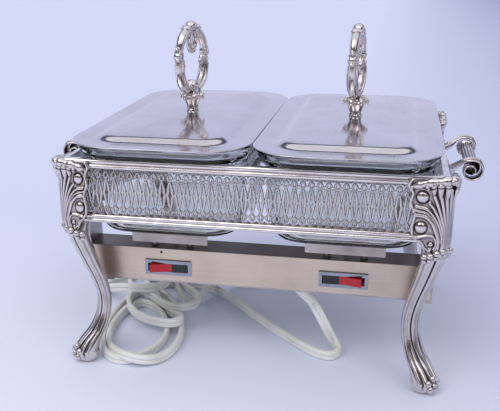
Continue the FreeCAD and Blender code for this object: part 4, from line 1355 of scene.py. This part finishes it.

# %% [markdown]
# ## The warming bar
#
# The solids of the bar are folded sheet with true edges, so they stay as they are and only
# get their finishes. The case is champagne anodised aluminium, brushed along its length:
# long thin noise streaks in colour, roughness and bump make that. Its top, under the hot
# plates, gets painted shade in a dark brown: the height of a point mixes that colour in.

# %% Sheet metal of the bar
champagne = Finish("champagne_metal", Metallic=1.0)
streak = champagne.noise(1.0, 3.0, champagne.stretched((0.012, 0.9, 0.9)))
stain = champagne.ramp(champagne.noise(40.0, 3.0), (0.4, 0.0), (0.8, 1.0))
tone = champagne.mix(streak, colour(204, 188, 172), colour(224, 208, 194))
case_top = float(corners("warmer_case")[1][2])
# painted shade: the top of the case darkens towards a dark brown by height
deck_painted_shade = champagne.ramp(champagne.axis("Z") - (case_top - 1.0), (0.2, 0.0), (0.7, 1.0))
worn_tone = champagne.mix(stain * 0.35, tone, colour(158, 144, 132))
champagne.drive(Base_Color=champagne.mix(deck_painted_shade * 0.8, worn_tone, colour(92, 80, 74)),
                Roughness=0.27 + 0.14 * streak, Normal=champagne.bump(streak, 0.02))

sheet_steel = Finish("bright_steel", Metallic=1.0)
rolled = sheet_steel.noise(1.2, 3.0, sheet_steel.stretched((0.02, 0.6, 0.6)))
heat = sheet_steel.ramp(sheet_steel.noise(30.0, 3.0), (0.4, 0.0), (0.75, 1.0))
heated = sheet_steel.mix(heat * 0.6, colour(186, 180, 178), colour(120, 110, 106))
sheet_steel.drive(Base_Color=heated,
                  Roughness=0.22 + 0.16 * rolled, Normal=sheet_steel.bump(rolled, 0.02))
print("top of the bar's case at", round(case_top, 1), "mm")

# %% [markdown]
# The small parts share one plain recipe: soft noise that runs from one colour to another
# and from smooth to a little rougher. The leads' glass sleeve is woven, so bands stand in
# for its threads.

# %% Small parts of the bar
def mottled(name, size, detail, first, second, smooth, rougher, crumple=0.0, **fixed):
    """Soft noise of `size` millimetres in colour, in roughness and, if asked, in bump."""
    finish = Finish(name, **fixed)
    blotch = finish.noise(size, detail)
    finish.drive(Base_Color=finish.mix(blotch, first, second), Roughness=smooth + rougher * blotch)
    if crumple:
        finish.drive(Normal=finish.bump(blotch, crumple))
    return finish


zinc = mottled("zinc_fixings", 2.0, 3.0, colour(180, 178, 176), colour(222, 220, 218),
               0.2, 0.2, Metallic=1.0)
foil = mottled("element_foil", 3.0, 3.0, colour(168, 168, 170), colour(214, 214, 216),
               0.25, 0.2, crumple=0.2, Metallic=1.0)
resin = mottled("phenolic", 5.0, 4.0, colour(52, 34, 28), colour(84, 58, 44),
                0.35, 0.2, Specular_IOR_Level=0.5)

chrome = Finish("chromed_bezel", Metallic=1.0)
haze = chrome.ramp(chrome.noise(6.0, 3.0), (0.4, 0.0), (0.8, 1.0))
chrome.drive(Base_Color=chrome.mix(haze * 0.5, colour(160, 164, 176), colour(122, 124, 134)),
             Roughness=0.10 + 0.12 * haze)

sleeve = Finish("lead_sleeve", Roughness=0.85)
weave = sleeve.add("ShaderNodeTexWave", {"wave_type": "BANDS", "bands_direction": "DIAGONAL"},
                   {"Vector": sleeve.place(), "Scale": 900.0, "Distortion": 1.5}, 1)
sleeve.drive(Base_Color=sleeve.mix(weave, colour(196, 190, 176), colour(232, 228, 216)),
             Normal=sleeve.bump(weave, 0.12))
print("small finishes:", [finish.material.name for finish in (zinc, foil, resin, chrome, sleeve)])

# %% [markdown]
# Each rocker is moulded in two colours. The red half is the longer one, so the line between
# them stands three millimetres past the middle, and the point's x picks the colour.

# %% Rockers
RED_SIDE = {"rocker_left": -1, "rocker_right": 1}
SPLIT_SHIFT = 2.0    # moves the line past the middle; 0.5 per millimetre

rocker_finishes = {}
for node, red_sign in RED_SIDE.items():
    low_corner, high_corner = corners(node)
    middle = (low_corner[0] + high_corner[0]) / 2
    rocker = Finish(node, Roughness=0.16, Specular_IOR_Level=0.5)
    across = (rocker.axis("X") - float(middle)) * (0.5 * red_sign)
    half = rocker.ramp(across + SPLIT_SHIFT, (0.48, 0.0), (0.52, 1.0))
    dust = rocker.ramp(rocker.noise(4.0, 3.0), (0.45, 0.0), (0.8, 1.0))
    tint = rocker.mix(half, colour(16, 26, 30), colour(176, 12, 32))
    rocker.drive(Base_Color=rocker.mix(dust * 0.10, tint, colour(150, 130, 130)),
                 Roughness=0.12 + 0.16 * dust)
    rocker_finishes[node] = rocker
print("rocker finishes:", list(rocker_finishes))

# %% [markdown]
# Every solid that no piece above replaces is seen as it is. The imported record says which
# material each solid has, and a short table turns that into a finish.

# %% Finishes on the solids
plans = {"champagne_metal": champagne, "bright_steel": sheet_steel, "zinc_fixings": zinc,
         "element_foil": foil, "chromed_bezel": chrome, "phenolic": resin,
         "lead_sleeve": sleeve, "ivory_pvc": pvc, "silver_moulding": moulding_silver,
         "cast_silver": cast_silver, "pierced_silver": pierced_silver,
         "mirror_silver": mirror, "dish_glass": glass}
slot_of = {row["node"]: row["material_slot"] for row in frame["record"]["subparts"]}
for node, solid in frame["nodes"].items():
    finish = rocker_finishes.get(node) or plans[slot_of[node]]
    solid.data.materials.clear()
    solid.data.materials.append(finish.material)
print("finished solids:", len(frame["nodes"]))
